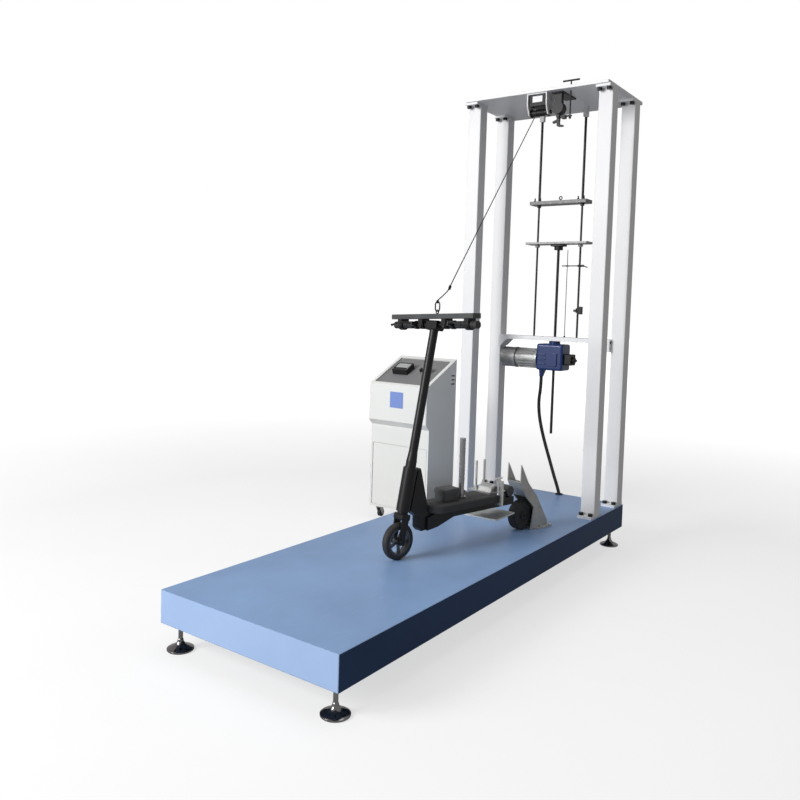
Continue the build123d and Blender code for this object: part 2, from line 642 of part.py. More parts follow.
def release():
    """A round magnet housing on a soffit plate, with a claw worked by the pull rod."""
    x0, x1 = RELEASE_X - 32, RELEASE_X + 32
    y0, y1 = HOIST_Y - RELEASE_D / 2, HOIST_Y + RELEASE_D / 2
    body = block((x0, x1), (y0 - 4, y1 + 130), (SOFFIT_Z - 8, SOFFIT_Z))
    body += block((RELEASE_X - 20, RELEASE_X + 20), (y0 + 10, y1 - 10), (RELEASE_Z, SOFFIT_Z - 8))
    body += rod(RELEASE_R, (RELEASE_X, y0, RELEASE_Z), (RELEASE_X, y1, RELEASE_Z))
    for side in (-1, 1):
        edge = HOIST_Y + side * 15
        ear = block((RELEASE_X - 9, RELEASE_X + 9), sorted((edge, edge - side * 6)), (LEVER_Z, RELEASE_Z))
        body += ear + rod(9, (RELEASE_X, edge, LEVER_Z), (RELEASE_X, edge - side * 6, LEVER_Z))
    body += rod(4, (RELEASE_X, HOIST_Y - 17, LEVER_Z), (RELEASE_X, HOIST_Y + 17, LEVER_Z))
    keep("release_magnet", body)

    half = 8
    claw = [(RELEASE_X - 9, LEVER_Z), (RELEASE_X - 8, LEVER_Z - 14), (RELEASE_X - 34, LEVER_Z - 24),
            (RELEASE_X - 30, LEVER_Z - 34), (RELEASE_X - 8, LEVER_Z - 26), (RELEASE_X - 7, LEVER_Z - 50),
            (RELEASE_X + 2, LEVER_Z - 54), (RELEASE_X + 28, LEVER_Z - 56), (RELEASE_X + 30, LEVER_Z - 48),
            (RELEASE_X + 7, LEVER_Z - 42), (RELEASE_X + 9, LEVER_Z)]
    lever = side_plate(claw, (HOIST_Y - half, HOIST_Y + half))
    lever += rod(9, (RELEASE_X, HOIST_Y - half, LEVER_Z), (RELEASE_X, HOIST_Y + half, LEVER_Z))
    arm_end = PULL_X + 9
    arm = block((RELEASE_X, arm_end), (HOIST_Y - half, HOIST_Y + half), (LEVER_Z - 4, LEVER_Z + 4))
    arm += block((RELEASE_X + 22, RELEASE_X + 44), (HOIST_Y - half - 4, HOIST_Y + half + 4),
                 (LEVER_Z - 14, LEVER_Z + 6))
    arm -= block((PULL_X - 7, arm_end + 1), (HOIST_Y - PULL_R - 1, HOIST_Y + PULL_R + 1),
                 (LEVER_Z - 20, LEVER_Z + 20))
    lever += arm
    lever -= rod(4 + RUNNING, (RELEASE_X, HOIST_Y - half - 5, LEVER_Z),
                 (RELEASE_X, HOIST_Y + half + 5, LEVER_Z))
    keep("release_lever", lever)

    bar_z = TOP_Z + PULL_ABOVE
    pull = upright_rod(PULL_R, PULL_X, HOIST_Y, (LEVER_Z - 14, bar_z))
    pull += Pos(PULL_X, HOIST_Y, LEVER_Z - 4 - SLIP - 7) * Sphere(7)
    pull += rod(5, (PULL_X - PULL_BAR / 2, HOIST_Y, bar_z), (PULL_X + PULL_BAR / 2, HOIST_Y, bar_z))
    pull += upright_rod(8, PULL_X, HOIST_Y, (TOP_Z + SLIP, TOP_Z + 12))
    keep("pull_rod", pull)


# Specimen scooter, in its own frame: X runs back from the front axle, Y to its left

def scooter_steering():
    section = Pos((FRONT_R + FRONT_RIM_R) / 2, 0) * Rectangle(FRONT_R - FRONT_RIM_R, FRONT_TYRE_W)
    section = fillet(section.vertices().sort_by(Axis.X)[-2:], FRONT_TYRE_CROWN)
    section = fillet(section.vertices().sort_by(Axis.X)[:2], 4)
    tyre = revolve(Plane.XZ * section, Axis.Z)
    keep("front_tyre", STEER * (Rot(90, 0, 0) * tyre))

    rim = tube(FRONT_RIM_R, FRONT_RIM_R - 9, (0, -15, 0), (0, 15, 0)) + rod(17, (0, -16, 0), (0, 16, 0))
    for i in range(5):
        rim += Rot(0, 72 * i, 0) * block((14, FRONT_RIM_R - 6), (-5, 5), (-6, 6))
    rim -= rod(5 + RUNNING, (0, -20, 0), (0, 20, 0))
    keep("front_rim", STEER * rim)

    leg_in = FRONT_TYRE_W / 2 + 4
    stem = Part()
    for side in (-1, 1):
        y = sorted((side * leg_in, side * (leg_in + 7)))
        stem += side_plate([(-13, -10), (-9, -15), (9, -15), (13, -10), (20, 110), (-20, 110)], y)
        stem += rod(14, (0, side * (leg_in + 7), 0), (0, side * (leg_in + 13), 0))
    stem += rod(5, (0, -leg_in, 0), (0, leg_in, 0))
    crown = block((-24, 24), (-leg_in - 7, leg_in + 7), (FRONT_R + 12, FRONT_R + 40))
    stem += fillet(crown.edges().filter_by(Axis.Y), 8)
    stem += upright_rod(COLUMN_R, 0, 0, (FRONT_R + 40, COLLAR_TOP + 30))
    cone = Cone(COLUMN_R, STEM_R, 40, align=(Align.CENTER, Align.CENTER, Align.MIN))
    stem += Pos(0, 0, COLLAR_TOP + 30) * cone
    stem += upright_rod(STEM_R, 0, 0, (COLLAR_TOP + 70, BAR_UP - BAR_R - 6))
    head = block((-26, 26), (-34, 34), (BAR_UP - 26, BAR_UP + 18))
    stem += fillet(head.edges().filter_by(Axis.Y), 10)
    keep("scooter_stem", STEER * stem - BAR * rod(BAR_R + HOLE_PLAY, (0, -60, 0), (0, 60, 0)))

    bar = rod(BAR_R, (0, -HANDLEBAR_LEN / 2, 0), (0, HANDLEBAR_LEN / 2, 0))
    grips = []
    for side in (-1, 1):
        end = side * HANDLEBAR_LEN / 2
        grip = rod(GRIP_R, (0, end - side * GRIP_LEN, 0), (0, end + side * 5, 0))
        grip -= rod(BAR_R + RUNNING, (0, end - side * (GRIP_LEN + 1), 0), (0, end, 0))
        for i in range(5):
            spot = end - side * (16 + 18 * i)
            grip -= tube(GRIP_R + 1, GRIP_R - 1.5, (0, spot - 2, 0), (0, spot + 2, 0))
        grips.append(grip)
    keep("grips", *[BAR * grip for grip in grips])

    for name, side in (("brake_lever_left", 1), ("brake_lever_right", -1)):
        px, py, _ = lever_pivot(side)
        bend, tip = (px - 34, py + side * 42, 0), (px - 30, py + side * 104, -12)
        lever = rod(4.5, (px, py, 0), bend) + rod(4.5, bend, tip)
        lever += Pos(*bend) * Sphere(4.5) + Pos(*tip) * Sphere(6)
        lever += upright_rod(8, px, py, (-5, 5))
        keep(name, BAR * (lever - upright_rod(3 + RUNNING, px, py, (-12, 12))))

    perches = []
    for side in (-1, 1):
        px, py, _ = lever_pivot(side)
        hub = tube(BAR_R + 7, BAR_R + RUNNING, (0, py - 9, 0), (0, py + 9, 0))
        for z in (-5 - SLIP - 4, 5 + SLIP):
            hub += block((px, -BAR_R - 3), (py - 8, py + 8), (z, z + 4)) + upright_rod(8, px, py, (z, z + 4))
        perches.append(hub + upright_rod(3, px, py, (-9, 9)))
    keep("handlebar", BAR * bar, *[BAR * perch for perch in perches])


def lever_pivot(side):
    """The brake lever's pivot, from the middle of the bar; side 1 is the rider's left."""
    return (-BAR_R - 22, side * (HANDLEBAR_LEN / 2 - GRIP_LEN - 22), 0)


def beam_frame():
    """At the middle of the bar and along it, but upright."""
    bar = Plane(BAR)
    back = bar.y_dir.cross(Vector(0, 0, 1))
    return Plane(origin=bar.origin, x_dir=back, z_dir=back.cross(bar.y_dir)).location


def scooter_frame():
    """Collar round the column, neck gusset, spine under the board and rear arms with the axle."""
    collar = tube(COLUMN_R + 8, COLUMN_R + RUNNING, (0, 0, COLLAR_BOTTOM), (0, 0, COLLAR_TOP))
    rake = radians(RAKE)
    collar = Location((0, 0, FRONT_R + SLIP), (0, RAKE, 0)) * collar
    foot = COLLAR_BOTTOM * sin(rake) + COLUMN_R + 4
    head = COLLAR_TOP * sin(rake) + COLUMN_R + 4
    low_z = FRONT_R + COLLAR_BOTTOM * cos(rake)
    high_z = FRONT_R + COLLAR_TOP * cos(rake) - 16
    s, z = BOARD_START, BOARD_BOTTOM
    neck = side_plate([(foot, low_z), (head, high_z), (head + 16, high_z + 10), (head + 26, high_z - 24),
                       (s - 7, z + 24), (s - 5, z - 4), (s + 49, z - 4), (s + 49, z - 70), (s - 45, z - 78),
                       (s - 59, z - 62), (s - 61, z - 14)], (-22, 22))
    spine_end = BOARD_END + 102
    spine_low = z - 38
    spine = side_plate([(s - 15, z - 78), (s + 49, z - 70), (s + 153, spine_low), (spine_end, spine_low),
                        (spine_end, z), (s + 61, z), (s - 15, z - 20)], (-32, 32))
    arms = Part()
    arm_in = REAR_TYRE_W / 2 + 3
    for side in (-1, 1):
        y = sorted((side * arm_in, side * (arm_in + 7)))
        arms += side_plate([(spine_end - 42, z - 4), (WHEELBASE - 4, REAR_AXLE_Z - 14),
                            (WHEELBASE + 16, REAR_AXLE_Z - 10), (WHEELBASE + 16, REAR_AXLE_Z + 10),
                            (spine_end, spine_low + 4), (spine_end - 42, spine_low + 4)], y)
        nut = side * (arm_in + 7)
        arms += rod(11, (WHEELBASE, nut, REAR_AXLE_Z), (WHEELBASE, nut + side * 8, REAR_AXLE_Z))
    arms += rod(6, (WHEELBASE, -arm_in, REAR_AXLE_Z), (WHEELBASE, arm_in, REAR_AXLE_Z))
    arms += damper(spine_end, spine_low, -arm_in - 21)
    frame = collar + neck + spine + arms
    frame -= Location((0, 0, FRONT_R + SLIP), (0, RAKE, 0)) * upright_rod(
        COLUMN_R + RUNNING, 0, 0, (COLLAR_BOTTOM - 20, COLLAR_TOP + 20))
    latch = Pos(head + 4, 0, high_z - 100) * Rot(90, 0, 0) * Torus(12, 4)
    keep("scooter_frame", SCOOTER * (frame + latch))

    wheel = revolve(Plane.XZ * fillet(
        (Pos((REAR_R + 40) / 2, 0) * Rectangle(REAR_R - 40, REAR_TYRE_W)).vertices(), 9), Axis.Z)
    wheel = Rot(90, 0, 0) * wheel + rod(42, (0, -20, 0), (0, 20, 0)) + rod(20, (0, -25, 0), (0, 25, 0))
    wheel -= rod(6 + RUNNING, (0, -40, 0), (0, 40, 0))
    keep("rear_wheel", SCOOTER * Pos(WHEELBASE, 0, REAR_AXLE_Z) * wheel)

    board = block((BOARD_START, BOARD_END), (-BOARD_HALF, BOARD_HALF), (BOARD_BOTTOM, BOARD_TOP))
    corners = board.edges().filter_by(Axis.Z).sort_by(Axis.X)
    board = fillet(corners[:2], BOARD_HALF * 0.85)
    board = fillet(board.edges().filter_by(Axis.Z).sort_by(Axis.X)[-2:], 14)
    board = fillet(board.edges().group_by(Axis.Z)[-1], 9)
    keep("scooter_board", SCOOTER * board)


def damper(spine_end, spine_low, y):
    """The round damper beside the near rear arm, pinned to the arm and to a lug under the spine."""
    front = (spine_end - 74, y, spine_low - 32)
    back = (spine_end + 3, y, spine_low - 5)
    body = rod(12, front, back)
    body += rod(5, back, (back[0], y + 22, back[2])) + rod(5, front, (front[0], y + 22, front[2]))
    lug = block((front[0] - 9, front[0] + 9), (y + 20, y + 30), (front[2] - 8, spine_low + 1))
    screw = rod(5, (front[0] - 4, y, front[2] - 20), (back[0] + 8, y, front[2] - 24))
    return body + lug + screw + rod(4, (front[0] + 6, y, front[2]), (front[0] + 6, y, front[2] - 20))


def loading_beam():
    """The bar over the handlebar and its saddle clamps; its eye is on the steering axis."""
    frame = beam_frame()
    low, high = BEAM_BOTTOM - HANDLEBAR_Z, BEAM_TOP - HANDLEBAR_Z
    ends = (BEAM_SHIFT - BEAM_LEN / 2, BEAM_SHIFT + BEAM_LEN / 2)
    beam = block((-BEAM_D / 2, BEAM_D / 2), ends, (low, high))
    beam = frame * chamfer(beam.edges().filter_by(Axis.Y), 2)
    beam += SCOOTER * Pos(EYE_S, 0, EYE_Z) * Rot(90, 0, 0) * Torus(EYE_R, EYE_WIRE)
    beam += SCOOTER * upright_rod(4, EYE_S, 0, (BEAM_TOP - 1, EYE_Z - EYE_R + 1))
    keep("loading_beam", beam)

    clamps = []
    for spot, bore in ((-215, GRIP_R), (-75, BAR_R), (75, BAR_R), (215, GRIP_R)):
        saddle = rod(bore + 7, (0, spot - 13, SLIP), (0, spot + 13, SLIP))
        saddle += block((-24, 24), (spot - 13, spot + 13), (4, low))
        for side in (-1, 1):
            saddle += upright_rod(5, side * 20, spot, (-16, 8))
        saddle += block((-24, 24), (spot - 9, spot + 9), (-9, -3))
        clamps.append(saddle - rod(bore + HOLE_PLAY, (0, spot - 14, SLIP), (0, spot + 14, SLIP)))
    keep("beam_clamps", *[frame * clamp for clamp in clamps])

    hook = ring_link(HOOK_HALF, HOOK_STRAIGHT, HOOK_WIRE)
    keep("rope_hook", SCOOTER * Pos(EYE_S, 0, (HOOK_LOW + HOOK_HIGH) / 2) * Rot(0, 0, 90) * hook)


def weights_and_clamps():
    top = BOARD_TOP
    end = WEIGHT_START + WEIGHT_LEN
    stack = block((WEIGHT_START, end), (-WEIGHT_W / 2, WEIGHT_W / 2), (top, top + WEIGHT_H))
    stack = fillet(stack.edges().filter_by(Axis.Z), 8)
    out = WEIGHT_W / 2 + LID_LIP
    lid_z = (top + WEIGHT_H, top + WEIGHT_H + LID_H)
    lid = block((WEIGHT_START - LID_LIP, end + LID_LIP), (-out, out), lid_z)
    lid = fillet(lid.edges().filter_by(Axis.Z), 12)
    stack += fillet(lid.edges().group_by(Axis.Z)[-1], 7)
    at = (BOARD_END + 78, BOARD_BOTTOM + ROLLER_R + SLIP)
    roller = rod(ROLLER_R, (at[0], -30, at[1]), (at[0], 30, at[1]))
    keep("weights", SCOOTER * stack, SCOOTER * fillet(roller.edges(), 4))

    post = upright_rod(LOAD_POST_R, LOAD_POST_S, 0, (top, LOAD_POST_TOP))
    post = chamfer(post.edges().sort_by(Axis.Z)[-1], LOAD_POST_BEVEL)
    groove = top + LOAD_COLLAR_T
    post -= tube(LOAD_POST_R + 1, LOAD_POST_R - 1, (LOAD_POST_S, 0, groove),
                 (LOAD_POST_S, 0, groove + LOAD_GROOVE))
    post += upright_rod(LOAD_POST_R + 8, LOAD_POST_S, 0, (top, groove))
    keep("load_post", SCOOTER * post)

    rest = top + CLAMP_T
    upper = block((CLAMP_START, CLAMP_END), (-CLAMP_NEAR, CLAMP_HALF), (top, rest))
    arch = [(8, 0), (14, 23), (38, 35), (86, 25), (108, 0), (100, 0), (82, 20), (39, 29), (19, 19), (15, 0)]
    upper += side_plate([(CLAMP_START + s, rest + z) for s, z in arch], (-CLAMP_NEAR, CLAMP_NEAR))
    middle = Pos((CLAMP_START + CLAMP_END) / 2 - 23, 0, 0) * Rot(0, 0, 90 - SCOOTER_TURN)
    lower = middle * block((-LOWER_BAR_LEN / 2, LOWER_BAR_LEN / 2), (-CLAMP_HALF - 4, CLAMP_HALF + 4),
                           (LOWER_BAR_TOP - CLAMP_T, LOWER_BAR_TOP))
    studs = []
    for s in (CLAMP_START + 38, CLAMP_START + 96):
        hole = upright_rod(STUD_R + HOLE_PLAY, s, STUD_OUT, (LOWER_BAR_TOP - 50, rest + 50))
        upper -= hole
        lower -= hole
        studs.append(upright_rod(STUD_R, s, STUD_OUT, (LOWER_BAR_TOP - 24, top + STUD_ABOVE)))
        studs.append(hex_nut(11, 10, STUD_R + HOLE_PLAY, s, STUD_OUT, rest))
        studs.append(hex_nut(11, 8, STUD_R + HOLE_PLAY, s, STUD_OUT, LOWER_BAR_TOP - CLAMP_T - 8))
    for s in STAND_BOLTS:
        for side in (-1, 1):
            studs.append(upright_rod(7, s, side * (STAND_HALF + 14), (STAND_FOOT_T, STAND_FOOT_T + 7)))
    keep("fixture_fasteners", *[SCOOTER * stud for stud in studs])

    over = top + G_CLAMP_ABOVE
    near, far = -BOARD_HALF - 26, -BOARD_HALF + 16
    jaw = profile_plate([(far, BOARD_BOTTOM), (far, BOARD_BOTTOM - 12), (near, BOARD_BOTTOM - 12),
                         (near, over + 12), (far - 4, over + 12), (far - 4, over), (near + 12, over),
                         (near + 12, BOARD_BOTTOM)], (G_CLAMP_S - G_CLAMP_W / 2, G_CLAMP_S + G_CLAMP_W / 2))
    screw_y = -BOARD_HALF + 4
    jaw += upright_rod(CLAMP_SCREW_R + 5, G_CLAMP_S, screw_y, (over - 3, over + 15))
    jaw -= upright_rod(CLAMP_SCREW_R + RUNNING, G_CLAMP_S, screw_y, (over - 4, over + 16))
    keep("clamp_bars", SCOOTER * upper, SCOOTER * lower, SCOOTER * jaw)

    screw = upright_rod(CLAMP_SCREW_R, G_CLAMP_S, screw_y, (top + SLIP, over + 24))
    screw += upright_rod(CLAMP_SCREW_R + 3, G_CLAMP_S, screw_y, (top + SLIP, top + 7))
    screw += rod(4.5, (G_CLAMP_S - 22, screw_y, over + 22), (G_CLAMP_S + 26, screw_y, over + 22))
    keep("clamp_screw", SCOOTER * screw)


def rear_stand():
    """Two cheeks with leaning front and back plates that hold the rear wheel on the deck."""
    s, z = WHEELBASE, REAR_AXLE_Z
    outline = [(s - 56, z + 271), (s - 58, z + 180), (s - 14, z + 102), (s + 51, z + 41), (s + 34, z - 55),
               (s + 30, 0), (s + 164, 0), (s + 164, 34), (s + 75, z + 95), (s + 3, z + 173),
               (s - 45, z + 254)]
    edge = STAND_HALF + STAND_T
    stand = side_plate(outline, (STAND_HALF, edge)) + side_plate(outline, (-edge, -STAND_HALF))
    front = [(s - 58, z + 180), (s - 14, z + 102), (s - 10, z + 104), (s - 54, z + 182)]
    back = [(s + 3, z + 173), (s, z + 169), (s + 71, z + 92), (s + 159, 32), (s + 159, 0), (s + 164, 0),
            (s + 164, 34), (s + 75, z + 95)]
    stand += side_plate(front, (-STAND_HALF, STAND_HALF)) + side_plate(back, (-STAND_HALF, STAND_HALF))
    stand += block((s + 60, s + 184), (-edge - 17, edge + 17), (0, STAND_FOOT_T))
    keep("rear_stand", SCOOTER * stand)


# Console

def console():
    outline = [(CONSOLE_LOW_FRONT, CONSOLE_BOTTOM), (CONSOLE_LOW_FRONT, CONSOLE_STEP_Z - CONSOLE_STEP),
               (CONSOLE_FRONT, CONSOLE_STEP_Z), (CONSOLE_FRONT, CONSOLE_FRONT_TOP),
               (CONSOLE_BACK, CONSOLE_BACK_TOP), (CONSOLE_BACK, CONSOLE_BOTTOM)]
    wall = CONSOLE_WALL
    inner = [(CONSOLE_LOW_FRONT + wall, CONSOLE_BOTTOM + wall),
             (CONSOLE_LOW_FRONT + wall, CONSOLE_STEP_Z - CONSOLE_STEP + wall),
             (CONSOLE_FRONT + wall, CONSOLE_STEP_Z + wall),
             (CONSOLE_FRONT + wall, CONSOLE_FRONT_TOP - PANEL_SUNK - 4 * wall),
             (CONSOLE_BACK - wall, CONSOLE_BACK_TOP - PANEL_SUNK - 4 * wall),
             (CONSOLE_BACK - wall, CONSOLE_BOTTOM + wall)]
    body = profile_plate(outline, (CONSOLE_LEFT, CONSOLE_RIGHT))
    body = fillet(body.edges().filter_by(Axis.Z).group_by(Axis.Y)[0], 8)
    body -= profile_plate(inner, (CONSOLE_LEFT + wall, CONSOLE_RIGHT - wall))

    panel_frame = Location((0, CONSOLE_FRONT, CONSOLE_FRONT_TOP), (PANEL_TILT, 0, 0))
    slope = sqrt(CONSOLE_D**2 + (CONSOLE_BACK_TOP - CONSOLE_FRONT_TOP)**2)
    x = (CONSOLE_LEFT + PANEL_BORDER, CONSOLE_RIGHT - PANEL_BORDER)
    body -= panel_frame * block(x, (PANEL_BORDER, slope - PANEL_BORDER), (-PANEL_SUNK - 40, 1))
    ledge = panel_frame * block((x[0] - 6, x[1] + 6), (PANEL_BORDER - 6, slope - PANEL_BORDER + 6),
                                (-PANEL_SUNK - PANEL_T, -PANEL_SUNK))
    open_top = [(CONSOLE_FRONT + wall, CONSOLE_FRONT_TOP), (CONSOLE_BACK - wall, CONSOLE_BACK_TOP)]
    inside = profile_plate(inner[:3] + open_top + inner[5:], (CONSOLE_LEFT + wall, CONSOLE_RIGHT - wall))
    door_x, door_z = door_span()
    gap = DOOR_GAP
    body += door_frame(door_x, door_z)
    body -= block((door_x[0] - gap, door_x[1] + gap),
                  (CONSOLE_LOW_FRONT - 1, CONSOLE_LOW_FRONT + DOOR_T + 4), (door_z[0] - gap, door_z[1] + gap))
    pin_x, pin_y = door_pin()
    body -= upright_rod(3 + RUNNING, pin_x, pin_y, (door_z[0] - 8, door_z[1] + 8))
    for i in range(3):
        z = CONSOLE_FRONT_TOP + 60 - 26 * i
        body -= block((CONSOLE_RIGHT - wall - 1, CONSOLE_RIGHT + 1), (CONSOLE_BACK - 60, CONSOLE_BACK - 20),
                      (z - 4, z + 4))
    panel = ledge & inside
    body -= panel
    keep("console_cabinet", body)
    keep("control_panel", panel, *control_bezels(panel_frame, x, slope))
    controls(panel_frame, x, slope)

    door = block(door_x, (CONSOLE_LOW_FRONT, CONSOLE_LOW_FRONT + DOOR_T), door_z)
    door = fillet(door.edges().filter_by(Axis.Z).group_by(Axis.X)[0], DOOR_T / 2 - 0.1)
    door -= block((door_x[0] + DOOR_T, door_x[1] - DOOR_T),
                  (CONSOLE_LOW_FRONT + 2, CONSOLE_LOW_FRONT + DOOR_T + 1),
                  (door_z[0] + DOOR_T, door_z[1] - DOOR_T))
    door += upright_rod(3, pin_x, pin_y, (door_z[0] - 7, door_z[0] + 1))
    door += upright_rod(3, pin_x, pin_y, (door_z[1] - 1, door_z[1] + 7))
    keep("console_door", door)


def door_span():
    x = (CONSOLE_LEFT + DOOR_MARGIN, CONSOLE_RIGHT - DOOR_MARGIN)
    return x, (CONSOLE_BOTTOM + DOOR_MARGIN, DOOR_TOP)


def door_pin():
    return CONSOLE_LEFT + DOOR_MARGIN + DOOR_T / 2, CONSOLE_LOW_FRONT + DOOR_T / 2


def door_frame(door_x, door_z):
    """The folded frame round the door opening, inside the cabinet's front wall."""
    depth = (CONSOLE_LOW_FRONT, CONSOLE_LOW_FRONT + DOOR_T + 4)
    outer = block((CONSOLE_LEFT + 1, CONSOLE_RIGHT - 1), depth, (CONSOLE_BOTTOM + 1, door_z[1] + DOOR_MARGIN))
    return outer - block((door_x[0] - DOOR_GAP, door_x[1] + DOOR_GAP), (depth[0] - 1, depth[1] + 1),
                         (door_z[0] - DOOR_GAP, door_z[1] + DOOR_GAP))


def controls(panel_frame, x, slope):
    face = -PANEL_SUNK
    mid = slope / 2
    meter = block((x[0] + 60, x[0] + 176), (mid - 46, mid + 50), (face, face + 34))
    meter = fillet(meter.edges().filter_by(Axis.Z), 6)
    meter -= block((x[0] + 68, x[0] + 168), (mid - 12, mid + 42), (face + 32, face + 35))
    keep("meter_case", panel_frame * meter)
    bx, by = button_place(x, slope)
    kx, ky = knob_place(x, slope)
    stem_low = face + 2 + SLIP + BUTTON_TRAVEL
    button = upright_rod(8, bx, by, (stem_low, face + 22)) + upright_rod(19, bx, by, (face + 18, face + 30))
    button = fillet(button.edges().sort_by(Axis.Z)[-1], 5)
    keep("mushroom_button", panel_frame * button)
    knob = upright_rod(12, kx, ky, (face + 4 + SLIP, face + 20))
    knob += upright_rod(4, kx, ky, (face + 2, face + 6))
    knob = fillet(knob.edges().sort_by(Axis.Z)[-1], 2)
    knob += block((kx - 2.5, kx + 2.5), (ky - 13, ky + 13), (face + 8, face + 24))
    keep("selector_knob", panel_frame * knob)


def control_bezels(panel_frame, x, slope):
    """The collars that the button and the knob sit in."""
    face = -PANEL_SUNK
    bx, by = button_place(x, slope)
    collar = upright_rod(14, bx, by, (face, face + 8))
    collar -= upright_rod(8 + RUNNING, bx, by, (face + 2, face + 9))
    kx, ky = knob_place(x, slope)
    bezel = upright_rod(15, kx, ky, (face, face + 4)) - upright_rod(4 + RUNNING, kx, ky, (face + 1, face + 5))
    return panel_frame * collar, panel_frame * bezel


def button_place(x, slope):
    return x[1] - 78, slope / 2 + 10


def knob_place(x, slope):
    return x[1] - 140, slope / 2 + 10


def caster_places():
    """Name, x, y and whether it swivels."""
    left, right = CONSOLE_LEFT + CASTER_INSET, CONSOLE_RIGHT - CASTER_INSET
    front, back = CONSOLE_LOW_FRONT + CASTER_INSET, CONSOLE_BACK - CASTER_INSET
    return [("front_left", left, front, True), ("front_right", right, front, True),
            ("back_left", left, back, False), ("back_right", right, back, False)]


def casters():
    mounts = []
    axle_z = FLOOR + CASTER_WHEEL_R
    for name, x, y, swivels in caster_places():
        top = CONSOLE_BOTTOM
        plate = block((x - 26, x + 26), (y - 26, y + 26), (top - 4, top))
        plate += upright_rod(6, x, y, (top - 14, top - 4))
        mounts.append(plate)
        race = top - 4 - SLIP
        back = y + CASTER_TRAIL
        fork = upright_rod(20, x, y, (race - 9, race)) - upright_rod(6 + RUNNING, x, y, (race - 12, race + 1))
        fork += block((x - 17, x + 17), (y - 12, back + 8), (race - 12, race - 8)) - upright_rod(
            6 + RUNNING, x, y, (race - 14, race + 1))
        for side in (-1, 1):
            outline = [(y - 12, race - 10), (back + 8, race - 10), (back + 8, axle_z - 6),
                       (back - 6, axle_z - 8)]
            leg = sorted((x + side * 13.5, x + side * 17))
            fork += profile_plate(outline, leg)
        fork += rod(4, (x - 17, back, axle_z), (x + 17, back, axle_z))
        wheel = rod(CASTER_WHEEL_R, (x - 11, back, axle_z), (x + 11, back, axle_z))
        wheel = fillet(wheel.edges(), 3)
        wheel += rod(9, (x - 12.5, back, axle_z), (x + 12.5, back, axle_z))
        wheel -= rod(4 + RUNNING, (x - 14, back, axle_z), (x + 14, back, axle_z))
        keep(f"caster_wheel_{name}", wheel)
        if swivels:
            keep(f"caster_fork_{name}", fork)
        else:
            mounts.append(fork)
    keep("caster_mounts", *mounts)


# Rope and hose

def rope_points():
    """From the drum's lower side, straight and taut, then slack bends down to the hook."""
    wound = DRUM_CORE_R + ROPE_R + SLIP
    start = (ROPE_X, HOIST_Y + wound * sin(radians(45)), DRUM_Z - wound * cos(radians(45)))
    end = (SCOOTER * Pos(EYE_S, 0, HOOK_HIGH + HOOK_WIRE + ROPE_R + 2 * SLIP)).position
    return [start] + [tuple(end + Vector(*slack)) for slack in ROPE_SLACK] + [tuple(end)]


def hose_points():
    """Straight down from the gearbox, then over to the gland and through the deck."""
    top = GEARBOX_BOTTOM - OUTLET_H
    bend = top - HOSE_DROP
    way = [(OUTLET_X + across * (HOSE_X - OUTLET_X), MECH_Y + along * (HOSE_Y - MECH_Y), bend * (1 - down))
           for across, along, down in HOSE_WAY]
    return [(OUTLET_X, MECH_Y, top), (OUTLET_X, MECH_Y, bend), *way,
            (HOSE_X, HOSE_Y - 1, 6), (HOSE_X + 2, HOSE_Y, -34)]


def cords():
    cord("rope", rope_points(), ROPE_R, "rope")
    cord("motor_hose", hose_points(), HOSE_R, "hose")
    keep("hose_gland", tube(HOSE_GLAND_R + 6, HOSE_GLAND_R - 0.2, (HOSE_X, HOSE_Y, 0), (HOSE_X, HOSE_Y, 6)))


def main():
    os.makedirs("parts", exist_ok=True)
    platform()
    levelling_feet()
    posts()
    frame_fasteners()
    top_plate()
    guide_rods()
    lift_plates()
    support_plate()
    gearmotor()
    limit_trips()
    rope_drum()
    release()
    scooter_steering()
    scooter_frame()
    loading_beam()
    weights_and_clamps()
    rear_stand()
    console()
    casters()
    cords()
    for name, shape in parts.items():
        export_step(shape.moved(TO_ROW), f"parts/{name}.step")
    print(len(parts), "pieces")


if __name__ == "__main__":
    main()
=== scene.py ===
import bmesh
import bpy
from math import cos, pi, radians, sin
from mathutils import Matrix, Vector


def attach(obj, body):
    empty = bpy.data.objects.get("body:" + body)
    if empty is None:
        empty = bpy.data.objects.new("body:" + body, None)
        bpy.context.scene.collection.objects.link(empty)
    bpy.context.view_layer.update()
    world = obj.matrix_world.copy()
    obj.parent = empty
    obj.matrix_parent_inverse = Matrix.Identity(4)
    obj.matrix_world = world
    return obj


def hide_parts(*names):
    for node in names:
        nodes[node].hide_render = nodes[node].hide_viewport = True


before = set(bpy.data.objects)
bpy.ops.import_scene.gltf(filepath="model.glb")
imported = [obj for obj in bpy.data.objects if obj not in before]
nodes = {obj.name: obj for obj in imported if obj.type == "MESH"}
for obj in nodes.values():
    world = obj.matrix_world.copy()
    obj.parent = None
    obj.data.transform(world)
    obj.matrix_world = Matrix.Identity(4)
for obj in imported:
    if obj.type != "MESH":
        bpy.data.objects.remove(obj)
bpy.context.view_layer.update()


# Places, in millimetres from the middle of the platform's front top edge

DECK_EDGE = (295, -1327, 240)
SCOOTER_TURN = radians(76.75)
PANEL_TILT = radians(26.08)
PANEL_FOOT_Y = 2055
PANEL_FOOT_Z = 635


def place(x, y, z):
    """A point of the frame, in metres, from its place on the platform."""
    return Vector((x + DECK_EDGE[0], y + DECK_EDGE[1], z + DECK_EDGE[2])) / 1000


def on_panel(x, up_slope, out):
    """A point on the console's sloping panel, from its distance up the slope and out of it."""
    return place(x, PANEL_FOOT_Y + up_slope * cos(PANEL_TILT) - out * sin(PANEL_TILT),
                 PANEL_FOOT_Z + up_slope * sin(PANEL_TILT) + out * cos(PANEL_TILT))


